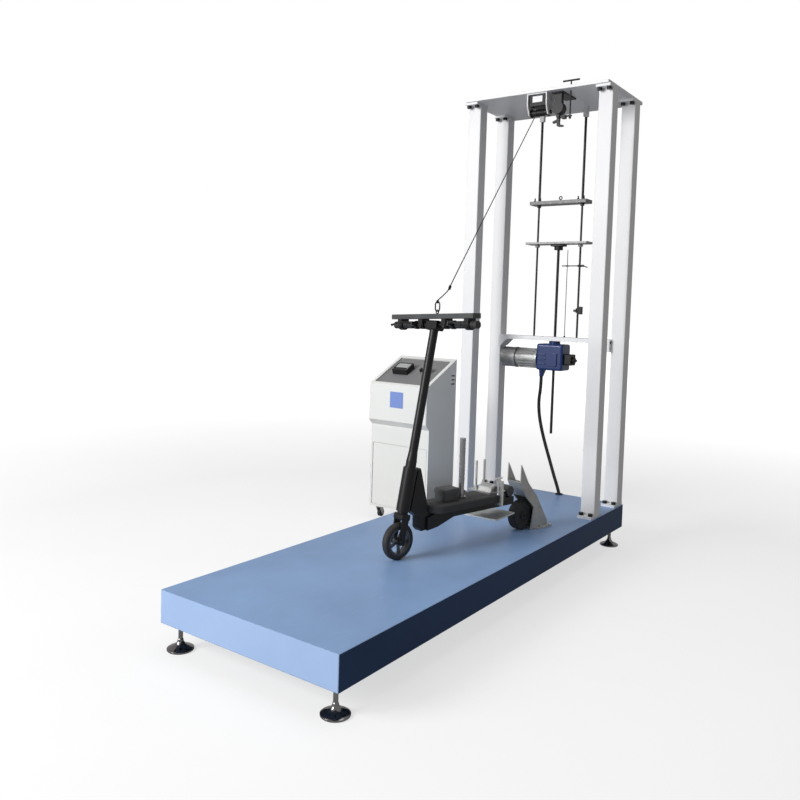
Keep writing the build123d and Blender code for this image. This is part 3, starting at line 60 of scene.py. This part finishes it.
SCOOTER_LEFT = (-sin(SCOOTER_TURN), cos(SCOOTER_TURN), 0)
PANEL_AXES = ((1, 0, 0), (0, cos(PANEL_TILT), sin(PANEL_TILT)), (0, -sin(PANEL_TILT), cos(PANEL_TILT)))
FRONT_AXES = ((1, 0, 0), (0, 0, 1), (0, -1, 0))

ROPE_WAY = [place(-21, 2194.0, 2222.0), place(91.1, 1179.5, 1240.8), place(93.1, 1157.5, 1206.8),
            place(84.1, 1118.5, 1176.8), place(76.1, 1091.5, 1156.8)]
HOSE_WAY = [place(-80, 2540, 722), place(-80, 2540, 650), place(-90.9, 2540, 572), place(-84.1, 2541, 481),
            place(-63.7, 2543.2, 390), place(-36.5, 2547, 299), place(-6.6, 2552.5, 208),
            place(22, 2558.6, 117), place(43.8, 2565.9, 52), place(56, 2571, 6), place(58, 2572, -34)]
HOOK_TOP = place(76.1, 1091.5, 1150.7)

# Sizes of the rope, its knot and the hose, in metres

ROPE_R = 0.0025
HOSE_R = 0.010
HOOK_EYE_R = 0.0060
KNOT_LEANS = (-0.35, 0.2, -0.15, 0.3)
KNOT_START = 0.004
KNOT_PITCH = 0.0055
KNOT_R = 0.0042
KNOT_WIRE = 0.0024


# Camera, at the photograph's viewing angle

CAMERA_SPOT = place(2016.7, -1917.7, 1119.6)
YAW, PITCH, ROLL = radians(35.443), radians(3.141), radians(1.785)
PHOTO_WIDTH = 800
FOCAL_PIXELS = 787.23
CENTRE_ROW = 350.58
SENSOR = 36


def aim_camera():
    forward = Vector((-sin(YAW) * cos(PITCH), cos(YAW) * cos(PITCH), -sin(PITCH)))
    level = Vector((cos(YAW), sin(YAW), 0))
    upright = level.cross(forward)
    right = cos(ROLL) * level + sin(ROLL) * upright
    up = cos(ROLL) * upright - sin(ROLL) * level
    data = bpy.data.cameras.new("camera")
    data.sensor_width = SENSOR
    data.lens = SENSOR * FOCAL_PIXELS / PHOTO_WIDTH
    data.shift_y = -(PHOTO_WIDTH / 2 - CENTRE_ROW) / PHOTO_WIDTH
    data.clip_end = 60
    camera = bpy.data.objects.new("camera", data)
    turn = Matrix((right, up, -forward)).transposed().to_4x4()
    camera.matrix_world = Matrix.Translation(CAMERA_SPOT) @ turn
    bpy.context.scene.collection.objects.link(camera)
    bpy.context.scene.camera = camera


# Materials

def start_material(name):
    """A new material with its node tree, its shader and the piece's own coordinates."""
    material = bpy.data.materials.new(name)
    material.use_nodes = True
    tree = material.node_tree
    coordinates = tree.nodes.new("ShaderNodeTexCoord")
    return material, tree, tree.nodes["Principled BSDF"], coordinates.outputs["Object"]


def stretch(tree, source, scale, turn=(0, 0, 0)):
    """Stretches a pattern along the axes before it is used."""
    mapping = tree.nodes.new("ShaderNodeMapping")
    mapping.inputs["Scale"].default_value = scale
    mapping.inputs["Rotation"].default_value = turn
    tree.links.new(source, mapping.inputs["Vector"])
    return mapping.outputs["Vector"]


def noise(tree, source, scale, detail=4.0, rough=0.55):
    """A cloudy pattern; a larger scale makes it finer."""
    grain = tree.nodes.new("ShaderNodeTexNoise")
    grain.inputs["Scale"].default_value = scale
    grain.inputs["Detail"].default_value = detail
    grain.inputs["Roughness"].default_value = rough
    tree.links.new(source, grain.inputs["Vector"])
    return grain.outputs["Fac"]


def spread(tree, source, low, high, start=0.3, end=0.7):
    """Turns a pattern into numbers between low and high."""
    between = tree.nodes.new("ShaderNodeMapRange")
    between.inputs["From Min"].default_value = start
    between.inputs["From Max"].default_value = end
    between.inputs["To Min"].default_value = low
    between.inputs["To Max"].default_value = high
    tree.links.new(source, between.inputs["Value"])
    return between.outputs["Result"]


def tint(tree, source, dark, light, start=0.3, end=0.7):
    """Turns a pattern into a colour between dark and light."""
    ramp = tree.nodes.new("ShaderNodeValToRGB")
    ramp.color_ramp.elements[0].position = start
    ramp.color_ramp.elements[1].position = end
    ramp.color_ramp.elements[0].color = (*dark, 1)
    ramp.color_ramp.elements[1].color = (*light, 1)
    tree.links.new(source, ramp.inputs["Fac"])
    return ramp.outputs["Color"]


def mix_colour(tree, factor, first, second):
    """The first colour where the factor is 0 and the second where it is 1."""
    blend = tree.nodes.new("ShaderNodeMix")
    blend.data_type = "RGBA"
    tree.links.new(factor, blend.inputs["Factor"])
    for socket, value in ((blend.inputs[6], first), (blend.inputs[7], second)):
        if isinstance(value, tuple):
            socket.default_value = (*value, 1)
        else:
            tree.links.new(value, socket)
    return blend.outputs[2]


def soft_edges(tree, radius):
    """A shading normal that rounds sharp edges by that radius."""
    bevel = tree.nodes.new("ShaderNodeBevel")
    bevel.samples = 4
    bevel.inputs["Radius"].default_value = radius
    return bevel.outputs["Normal"]


def edge_mask(tree, rounded):
    """White along outer and inner edges, from how far the rounded normal leaves the true one."""
    geometry = tree.nodes.new("ShaderNodeNewGeometry")
    facing = tree.nodes.new("ShaderNodeVectorMath")
    facing.operation = "DOT_PRODUCT"
    tree.links.new(rounded, facing.inputs[0])
    tree.links.new(geometry.outputs["Normal"], facing.inputs[1])
    return spread(tree, facing.outputs["Value"], 1, 0, 0.80, 0.99)


def raise_surface(tree, shader, heights, strength, distance, normal=None):
    """Gives the shader fine relief from a pattern, on top of a rounded normal if there is one."""
    bump = tree.nodes.new("ShaderNodeBump")
    bump.inputs["Strength"].default_value = strength
    bump.inputs["Distance"].default_value = distance
    tree.links.new(heights, bump.inputs["Height"])
    if normal is not None:
        tree.links.new(normal, bump.inputs["Normal"])
    tree.links.new(bump.outputs["Normal"], shader.inputs["Normal"])


def shades(colour, amount):
    """A darker and a lighter shade of the colour."""
    return tuple(c * (1 - amount) for c in colour), tuple(min(1.0, c * (1 + amount)) for c in colour)


def coated(name, colour, roughness, metallic=0.0, cloud=2.5, mottle=0.05, grain=260.0, relief=0.15,
           edge=None, edge_radius=0.0015, coat=0.0, along=None, shine=0.5):
    """Paint, powder coat or a machined metal: cloudy colour, fine grain, uneven gloss and worn edges."""
    material, tree, shader, source = start_material(name)
    pattern = stretch(tree, source, along) if along else source
    dark, light = shades(colour, mottle)
    base = tint(tree, noise(tree, source, cloud, 5), dark, light)
    fine = noise(tree, pattern, grain, 3)
    rounded = soft_edges(tree, edge_radius)
    if edge:
        worn = tree.nodes.new("ShaderNodeMath")
        worn.operation = "MULTIPLY"
        tree.links.new(edge_mask(tree, rounded), worn.inputs[0])
        tree.links.new(spread(tree, noise(tree, source, 35, 4), 0.0, 0.8, 0.42, 0.62), worn.inputs[1])
        base = mix_colour(tree, worn.outputs["Value"], base, edge)
    tree.links.new(base, shader.inputs["Base Color"])
    tree.links.new(spread(tree, fine, max(0.04, roughness - 0.07), min(1, roughness + 0.09)),
                   shader.inputs["Roughness"])
    shader.inputs["Metallic"].default_value = metallic
    shader.inputs["Specular IOR Level"].default_value = shine
    shader.inputs["Coat Weight"].default_value = coat
    raise_surface(tree, shader, fine, relief, 0.0004, rounded)
    return material


def facing_share(tree, sides, axis):
    """One where the surface faces along that axis, either way, and none where it faces across."""
    either_way = tree.nodes.new("ShaderNodeMath")
    either_way.operation = "ABSOLUTE"
    tree.links.new(sides.outputs[axis], either_way.inputs[0])
    return spread(tree, either_way.outputs["Value"], 0, 1, 0.6, 0.9)


def platform_paint_and_painted_light():
    """Blue paint with painted light and shade by face direction: lightest on the front as painted light,
    paler on the deck than on the long skirts, which carry painted shade.
    """
    material, tree, shader, source = start_material("platform_blue")
    geometry = tree.nodes.new("ShaderNodeNewGeometry")
    sides = tree.nodes.new("ShaderNodeSeparateXYZ")
    tree.links.new(geometry.outputs["Normal"], sides.inputs["Vector"])
    # painted shade: mask for the long side faces, which get a near-navy blue and less shine
    side_shade_mask = facing_share(tree, sides, "X")
    broad = noise(tree, source, 1.6, 6, 0.6)
    scuffs = noise(tree, stretch(tree, source, (9, 1.2, 9), (0, 0, 0.5)), 7, 6, 0.7)
    deck = tint(tree, broad, (0.185, 0.300, 0.52), (0.265, 0.415, 0.68))
    deck = mix_colour(tree, spread(tree, scuffs, 0, 0.35, 0.56, 0.72), deck, (0.31, 0.46, 0.72))
    # painted light: a lighter blue for the faces that point forward or back
    front = tint(tree, broad, (0.31, 0.44, 0.70), (0.38, 0.52, 0.78))
    # painted shade: a near-navy blue for the long side faces
    skirt_painted_shade = tint(tree, broad, (0.020, 0.048, 0.120), (0.032, 0.068, 0.160))
    rounded = soft_edges(tree, 0.004)
    base = mix_colour(tree, facing_share(tree, sides, "Y"), deck, front)
    base = mix_colour(tree, side_shade_mask, base, skirt_painted_shade)
    base = mix_colour(tree, edge_mask(tree, rounded), base, (0.30, 0.42, 0.66))
    # painted shade: less shine on the long side faces
    tree.links.new(spread(tree, side_shade_mask, 0.3, 0.05, 0, 1), shader.inputs["Specular IOR Level"])
    tree.links.new(base, shader.inputs["Base Color"])
    fine = noise(tree, source, 420, 3)
    tree.links.new(spread(tree, broad, 0.30, 0.44), shader.inputs["Roughness"])
    raise_surface(tree, shader, fine, 0.12, 0.0004, rounded)
    return material


def tread_rubber(name, blocks):
    """Black tyre rubber with a fine block tread."""
    material, tree, shader, source = start_material(name)
    cells = tree.nodes.new("ShaderNodeTexVoronoi")
    cells.feature = "DISTANCE_TO_EDGE"
    cells.inputs["Scale"].default_value = blocks
    tree.links.new(source, cells.inputs["Vector"])
    base = tint(tree, noise(tree, source, 30, 4), (0.012, 0.012, 0.013), (0.028, 0.028, 0.03))
    tree.links.new(base, shader.inputs["Base Color"])
    tree.links.new(spread(tree, noise(tree, source, 90, 3), 0.6, 0.85), shader.inputs["Roughness"])
    raise_surface(tree, shader, cells.outputs["Distance"], 0.6, 0.002)
    return material


def grit(name, colour):
    """Anti-slip grit on the scooter's board."""
    material, tree, shader, source = start_material(name)
    fine = noise(tree, source, 900, 2, 0.8)
    dark, light = shades(colour, 0.35)
    tree.links.new(tint(tree, fine, dark, light), shader.inputs["Base Color"])
    shader.inputs["Roughness"].default_value = 0.85
    raise_surface(tree, shader, fine, 0.7, 0.0008, soft_edges(tree, 0.002))
    return material


def braid(name, colour, pitch, lean):
    """Twisted rope or ribbed hose, from the line's own length and turn."""
    material, tree, shader, _ = start_material(name)
    own = tree.nodes["Texture Coordinate"].outputs["UV"]
    wave = tree.nodes.new("ShaderNodeTexWave")
    wave.wave_profile = "SIN"
    wave.inputs["Scale"].default_value = 1
    wave.inputs["Distortion"].default_value = 0.4
    wave.bands_direction = "X"
    tree.links.new(stretch(tree, own, (pitch, lean, 1)), wave.inputs["Vector"])
    dark, light = shades(colour, 0.45)
    tree.links.new(tint(tree, wave.outputs["Fac"], dark, light), shader.inputs["Base Color"])
    shader.inputs["Roughness"].default_value = 0.7
    raise_surface(tree, shader, wave.outputs["Fac"], 0.8, 0.001)
    return material


def glass(name, colour):
    """A dark display behind a glossy window."""
    material, tree, shader, source = start_material(name)
    base = tint(tree, noise(tree, source, 12, 3), *shades(colour, 0.15))
    tree.links.new(base, shader.inputs["Base Color"])
    tree.links.new(spread(tree, noise(tree, source, 60, 2), 0.06, 0.14), shader.inputs["Roughness"])
    shader.inputs["Coat Weight"].default_value = 0.6
    return material


WHITE = coated("post_white", (0.84, 0.84, 0.85), 0.42, mottle=0.02, grain=500, relief=0.08,
               edge_radius=0.002, shine=0.35)
CONSOLE = coated("console_white", (0.82, 0.83, 0.81), 0.48, mottle=0.02, grain=650, relief=0.12,
                 edge_radius=0.002, shine=0.3)
PANEL = coated("panel_grey", (0.21, 0.21, 0.215), 0.5, mottle=0.05, grain=500, shine=0.3)
BLUE_CASTING = coated("gearbox_blue", (0.010, 0.032, 0.14), 0.30, mottle=0.2, grain=160, relief=0.4,
                      edge=(0.05, 0.12, 0.32), edge_radius=0.003, coat=0.15, shine=0.35)
BLACK_PAINT = coated("black_paint", (0.008, 0.008, 0.009), 0.38, mottle=0.15, grain=300, relief=0.1,
                     edge=(0.05, 0.05, 0.05), coat=0.05, shine=0.25)
OXIDE = coated("black_oxide", (0.014, 0.014, 0.015), 0.45, metallic=0.2, mottle=0.2, grain=220, relief=0.2,
               edge=(0.12, 0.12, 0.12), edge_radius=0.001, shine=0.3)
STEEL = coated("beam_steel", (0.070, 0.071, 0.073), 0.48, metallic=0.3, mottle=0.2, cloud=9, grain=160,
               relief=0.25, edge=(0.28, 0.28, 0.28), along=(1, 1, 8), shine=0.3)
POST_STEEL = coated("load_post_steel", (0.30, 0.30, 0.31), 0.26, metallic=0.9, mottle=0.12, cloud=12,
                    grain=90, relief=0.05)
ZINC = coated("zinc", (0.55, 0.56, 0.55), 0.36, metallic=0.9, mottle=0.18, cloud=14, grain=140, relief=0.2)
BRIGHT = coated("bright_steel", (0.74, 0.74, 0.75), 0.16, metallic=1.0, mottle=0.05, cloud=12, grain=90,
                relief=0.05)
CHROME = coated("chrome", (0.22, 0.21, 0.21), 0.16, metallic=1.0, mottle=0.12, cloud=7, grain=60, relief=0.03)
CAST = coated("cast_aluminium", (0.30, 0.30, 0.30), 0.42, metallic=0.6, mottle=0.3, cloud=14, grain=240,
              relief=0.5)
RODS = coated("dark_rod", (0.016, 0.016, 0.018), 0.34, metallic=0.3, mottle=0.2, grain=200, along=(6, 6, 0.3),
              shine=0.3)
PLATE = coated("plate_steel", (0.27, 0.27, 0.27), 0.45, metallic=0.2, mottle=0.08, cloud=9, grain=200,
               edge=(0.7, 0.7, 0.7))
# painted shade: plate_steel at about half the brightness, for the tie plate seen from below in its shade
PLATE_STEEL_SHADED = coated("plate_steel_painted_shade", (0.13, 0.13, 0.13), 0.45, metallic=0.2, mottle=0.08, cloud=9, grain=200,
                   edge=(0.4, 0.4, 0.4))
RIM = coated("rim_alloy", (0.10, 0.10, 0.105), 0.36, metallic=0.6, mottle=0.1, cloud=20, grain=220)
PLASTIC = coated("black_plastic", (0.012, 0.012, 0.013), 0.5, mottle=0.1, grain=600, relief=0.3, shine=0.3)
RUBBER = coated("rubber", (0.03, 0.03, 0.03), 0.7, mottle=0.2, grain=300, relief=0.4)
LABEL = coated("label_blue", (0.20, 0.30, 0.66), 0.3, mottle=0.03, grain=500, relief=0.05)
WEIGHT = coated("weight_iron", (0.06, 0.062, 0.063), 0.5, metallic=0.4, mottle=0.25, cloud=18, grain=150,
                relief=0.6, edge=(0.25, 0.25, 0.25))
STAND = coated("stand_alloy", (0.42, 0.42, 0.40), 0.45, metallic=0.5, mottle=0.2, cloud=10, grain=180,
               relief=0.25, edge=(0.8, 0.8, 0.8))
DECK = platform_paint_and_painted_light()
TYRE = tread_rubber("tyre_tread", 150)
ROLLER = tread_rubber("caster_rubber", 400)
GRIT = grit("board_grit", (0.045, 0.046, 0.046))
ROPE = braid("rope_strands", (0.012, 0.012, 0.012), 180, 1)
HOSE = braid("hose_ribs", (0.012, 0.012, 0.012), 130, 0)
ROPE_WHIPPING = coated("rope_whipping", (0.012, 0.012, 0.012), 0.75, mottle=0.3, grain=900, relief=0.5,
                       shine=0.2)
GLASS = glass("display_glass", (0.42, 0.43, 0.43))

NODE_FINISHES = {
    "platform_deck": DECK, "platform_frame": DECK, "levelling_feet": CHROME, "near_posts": WHITE,
    "far_posts": WHITE, "top_plate": WHITE, "frame_fasteners": OXIDE, "guide_rods": RODS,
    # the tie plate gets the darker copy of plate steel, as painted shade
    "tie_plate": PLATE_STEEL_SHADED, "lift_plate": PLATE, "lift_screw": OXIDE, "support_plate": WHITE,
    "worm_gearbox": BLUE_CASTING,
    "motor_barrel": CAST, "fan_cover": CAST, "gearbox_end_cap": OXIDE, "trip_rod": RODS, "trip_arm": OXIDE,
    "limit_switch": PLASTIC, "drum_bracket": WHITE, "drum_drive": PLASTIC, "rope_drum": OXIDE,
    "release_magnet": OXIDE, "release_lever": OXIDE, "pull_rod": OXIDE, "front_tyre": TYRE, "front_rim": RIM,
    "scooter_stem": BLACK_PAINT, "handlebar": BLACK_PAINT, "grips": RUBBER, "brake_lever_left": OXIDE,
    "brake_lever_right": OXIDE, "scooter_frame": BLACK_PAINT, "rear_wheel": TYRE, "scooter_board": GRIT,
    "loading_beam": STEEL, "beam_clamps": OXIDE, "rope_hook": OXIDE, "weights": WEIGHT,
    "load_post": POST_STEEL, "clamp_bars": ZINC, "fixture_fasteners": ZINC, "clamp_screw": BRIGHT,
    "rear_stand": STAND,
    "console_cabinet": CONSOLE, "control_panel": PANEL, "meter_case": PLASTIC, "mushroom_button": PLASTIC,
    "selector_knob": PLASTIC, "console_door": CONSOLE, "caster_mounts": ZINC, "caster_fork_front_left": ZINC,
    "caster_fork_front_right": ZINC, "caster_wheel_front_left": ROLLER, "caster_wheel_front_right": ROLLER,
    "caster_wheel_back_left": ROLLER, "caster_wheel_back_right": ROLLER, "hose_gland": PLASTIC,
}


def finish_nodes():
    """Gives each CAD piece its finish."""
    for name, material in NODE_FINISHES.items():
        node = nodes[name]
        for index in range(len(node.material_slots)):
            node.material_slots[index].material = material
        if not node.material_slots:
            node.data.materials.append(material)


# Rope and hose

def line(name, points, radius, material, body):
    """A flexible line through the route's points."""
    data = bpy.data.curves.new(name, "CURVE")
    data.dimensions = "3D"
    data.bevel_depth = radius
    data.bevel_resolution = 5
    data.resolution_u = 12
    data.use_fill_caps = True
    spline = data.splines.new("NURBS")
    spline.points.add(len(points) - 1)
    for point, spot in zip(spline.points, points):
        point.co = (*spot, 1)
    spline.order_u = 3
    spline.use_endpoint_u = True
    data.materials.append(material)
    piece = bpy.data.objects.new(name, data)
    bpy.context.scene.collection.objects.link(piece)
    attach(piece, body)
    return piece


def lines():
    """The rope from the drum to the hook, and the motor's hose down to the deck."""
    way = ROPE_WAY
    rope = line("haul_rope", way, ROPE_R, ROPE, "machine")
    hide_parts("rope")

    way = HOSE_WAY
    hose = line("flexible_hose", way, HOSE_R, HOSE, "machine")
    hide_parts("motor_hose")


# New pieces

def settle(name, mesh, material, body, bevel=0.0, smooth=30):
    """Makes the finished mesh a piece that rides on a body."""
    mesh.normal_update()
    data = bpy.data.meshes.new(name)
    mesh.to_mesh(data)
    mesh.free()
    data.materials.append(material)
    data.shade_smooth()
    piece = bpy.data.objects.new(name, data)
    bpy.context.scene.collection.objects.link(piece)
    if bevel:
        modifier = piece.modifiers.new("rounded", "BEVEL")
        modifier.width = bevel
        modifier.segments = 2
        modifier.angle_limit = radians(smooth)
    data.set_sharp_from_angle(angle=radians(smooth))
    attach(piece, body)
    return piece


def slab(mesh, middle, size, axes=None):
    """Adds a box to the mesh; size is in millimetres and axes are its own three directions."""
    turn = Matrix(axes).transposed().to_4x4() if axes else Matrix.Identity(4)
    scale = Matrix.Diagonal((*(s / 1000 for s in size), 1))
    return bmesh.ops.create_cube(mesh, size=1, matrix=Matrix.Translation(middle) @ turn @ scale)["verts"]


def screw_head(mesh, spot, axes, radius):
    """A screw head with a sunk top; the radius is in millimetres and the third axis points out."""
    turn = Matrix(axes).transposed().to_4x4()
    scale = radius / 1000
    made = bmesh.ops.create_cone(mesh, cap_ends=True, segments=16, radius1=scale, radius2=scale * 0.7,
                                 depth=scale * 0.7, matrix=Matrix.Translation(spot) @ turn)
    top = max((f for v in made["verts"] for f in v.link_faces if len(f.verts) > 4),
              key=lambda f: f.calc_center_median().dot(Vector(axes[2])))
    bmesh.ops.inset_individual(mesh, faces=[top], thickness=scale * 0.3, depth=-scale * 0.2)


def wound_ring(mesh, middle, axis, radius, wire):
    """One closed round of cord about the axis; sizes are in metres."""
    axis = Vector(axis).normalized()
    out = axis.orthogonal().normalized()
    turn = Matrix((out, axis, out.cross(axis))).transposed().to_4x4()
    made = bmesh.ops.create_circle(mesh, cap_ends=False, segments=10, radius=wire,
                                   matrix=Matrix.Translation(middle + out * radius) @ turn)
    edges = {edge for vert in made["verts"] for edge in vert.link_edges}
    bmesh.ops.spin(mesh, geom=list(made["verts"]) + list(edges), cent=middle, axis=axis, angle=2 * pi,
                   steps=24, use_merge=True, use_duplicate=False)


def rope_knot():
    """The turns that tie the rope back on itself, and its eye round the top of the hook."""
    high, low = ROPE_WAY[1], ROPE_WAY[2]
    along = (high - low).normalized()
    mesh = bmesh.new()
    for i, lean in enumerate(KNOT_LEANS):
        axis = along + lean * along.orthogonal().normalized()
        wound_ring(mesh, low + along * (KNOT_START + KNOT_PITCH * i), axis, KNOT_R, KNOT_WIRE)
    wound_ring(mesh, HOOK_TOP, SCOOTER_LEFT, HOOK_EYE_R, ROPE_R)
    settle("rope_knot", mesh, ROPE_WHIPPING, "machine", smooth=60)


def console_pieces():
    """The instrument's window, the bare plate on the front, the screws and the door's lock."""
    mesh = bmesh.new()
    slab(mesh, on_panel(-898, 201.5, 25), (96, 50, 1.2), PANEL_AXES)
    settle("display_window", mesh, GLASS, "machine", bevel=0.0005)
    mesh = bmesh.new()
    slab(mesh, place(-826, 2054.4, 542), (100, 1.2, 100))
    settle("blank_plate", mesh, LABEL, "machine", bevel=0.0004)
    mesh = bmesh.new()
    for x in (-1007, -633):
        for along in (32, 341):
            screw_head(mesh, on_panel(x, along, -7), PANEL_AXES, 4)
    for x in (-950, -846):
        for along in (149, 160):
            screw_head(mesh, on_panel(x, along, 26.5), PANEL_AXES, 2.2)
    settle("panel_screws", mesh, BRIGHT, "machine")
    mesh = bmesh.new()
    screw_head(mesh, place(-640, 2087.5, 60), FRONT_AXES, 11)
    settle("door_lock", mesh, BRIGHT, "console_door")


def drum_plate():
    """The white face on the drum's drive."""
    mesh = bmesh.new()
    slab(mesh, place(18, 2136.5, 2303), (60, 2, 34))
    settle("drum_face_plate", mesh, WHITE, "machine", bevel=0.0006)


# Floor and light

MIRRORED_SHARE = 0.35
WORLD_FILL = 0.24
FLOOR_GLOW = (0.64, 1.1)
FLOOR_GLOW_REACH = (2.5, 9.0)
LIGHTS_AIM = (0.2, 0.2, 1.0)
LIGHTS = (("key", (-2.5, -6.4, 3.4), 3.2, 520), ("top", (0.5, 0.2, 6.5), 4.0, 70))


def seen_share(tree):
    """One for the camera's own look at the surroundings, less for a reflection, none for their light."""
    path = tree.nodes.new("ShaderNodeLightPath")
    mirrored = tree.nodes.new("ShaderNodeMath")
    mirrored.operation = "MULTIPLY"
    mirrored.inputs[1].default_value = MIRRORED_SHARE
    tree.links.new(path.outputs["Is Glossy Ray"], mirrored.inputs[0])
    seen = tree.nodes.new("ShaderNodeMath")
    seen.operation = "MAXIMUM"
    tree.links.new(path.outputs["Is Camera Ray"], seen.inputs[0])
    tree.links.new(mirrored.outputs["Value"], seen.inputs[1])
    return seen.outputs["Value"]


def white_floor():
    """A white floor whose glow, which only the camera and reflections see, grows with the distance."""
    mesh = bmesh.new()
    bmesh.ops.create_grid(mesh, x_segments=1, y_segments=1, size=40)
    data = bpy.data.meshes.new("floor")
    mesh.to_mesh(data)
    mesh.free()
    floor = bpy.data.objects.new("floor", data)
    bpy.context.scene.collection.objects.link(floor)
    material, tree, shader, source = start_material("floor_white")
    tree.links.new(tint(tree, noise(tree, source, 0.8, 3), (0.34, 0.34, 0.34), (0.36, 0.36, 0.36)),
                   shader.inputs["Base Color"])
    shader.inputs["Roughness"].default_value = 1.0
    shader.inputs["Specular IOR Level"].default_value = 0
    shader.inputs["Emission Color"].default_value = (1, 1, 1, 1)
    away = tree.nodes.new("ShaderNodeVectorMath")
    away.operation = "LENGTH"
    tree.links.new(source, away.inputs[0])
    glow = spread(tree, away.outputs["Value"], *FLOOR_GLOW, *FLOOR_GLOW_REACH)
    shown = tree.nodes.new("ShaderNodeMath")
    shown.operation = "MULTIPLY"
    tree.links.new(seen_share(tree), shown.inputs[0])
    tree.links.new(glow, shown.inputs[1])
    tree.links.new(shown.outputs["Value"], shader.inputs["Emission Strength"])
    data.materials.append(material)


def white_world():
    scene = bpy.context.scene
    scene.view_settings.view_transform = "Standard"
    world = bpy.data.worlds.new("studio")
    scene.world = world
    world.use_nodes = True
    tree = world.node_tree
    background = tree.nodes["Background"]
    background.inputs["Color"].default_value = (1, 1, 1, 1)
    tree.links.new(spread(tree, seen_share(tree), WORLD_FILL, 1.0, 0, 1), background.inputs["Strength"])


def add_lights():
    for name, spot, size, power in LIGHTS:
        lamp = bpy.data.lights.new(name, "AREA")
        lamp.energy = power
        lamp.size = size
        light = bpy.data.objects.new(name, lamp)
        aim = Vector(LIGHTS_AIM) - Vector(spot)
        light.matrix_world = Matrix.Translation(spot) @ aim.to_track_quat("-Z", "Y").to_matrix().to_4x4()
        bpy.context.scene.collection.objects.link(light)


aim_camera()
lines()
finish_nodes()
console_pieces()
drum_plate()
rope_knot()
white_floor()
white_world()
add_lights()
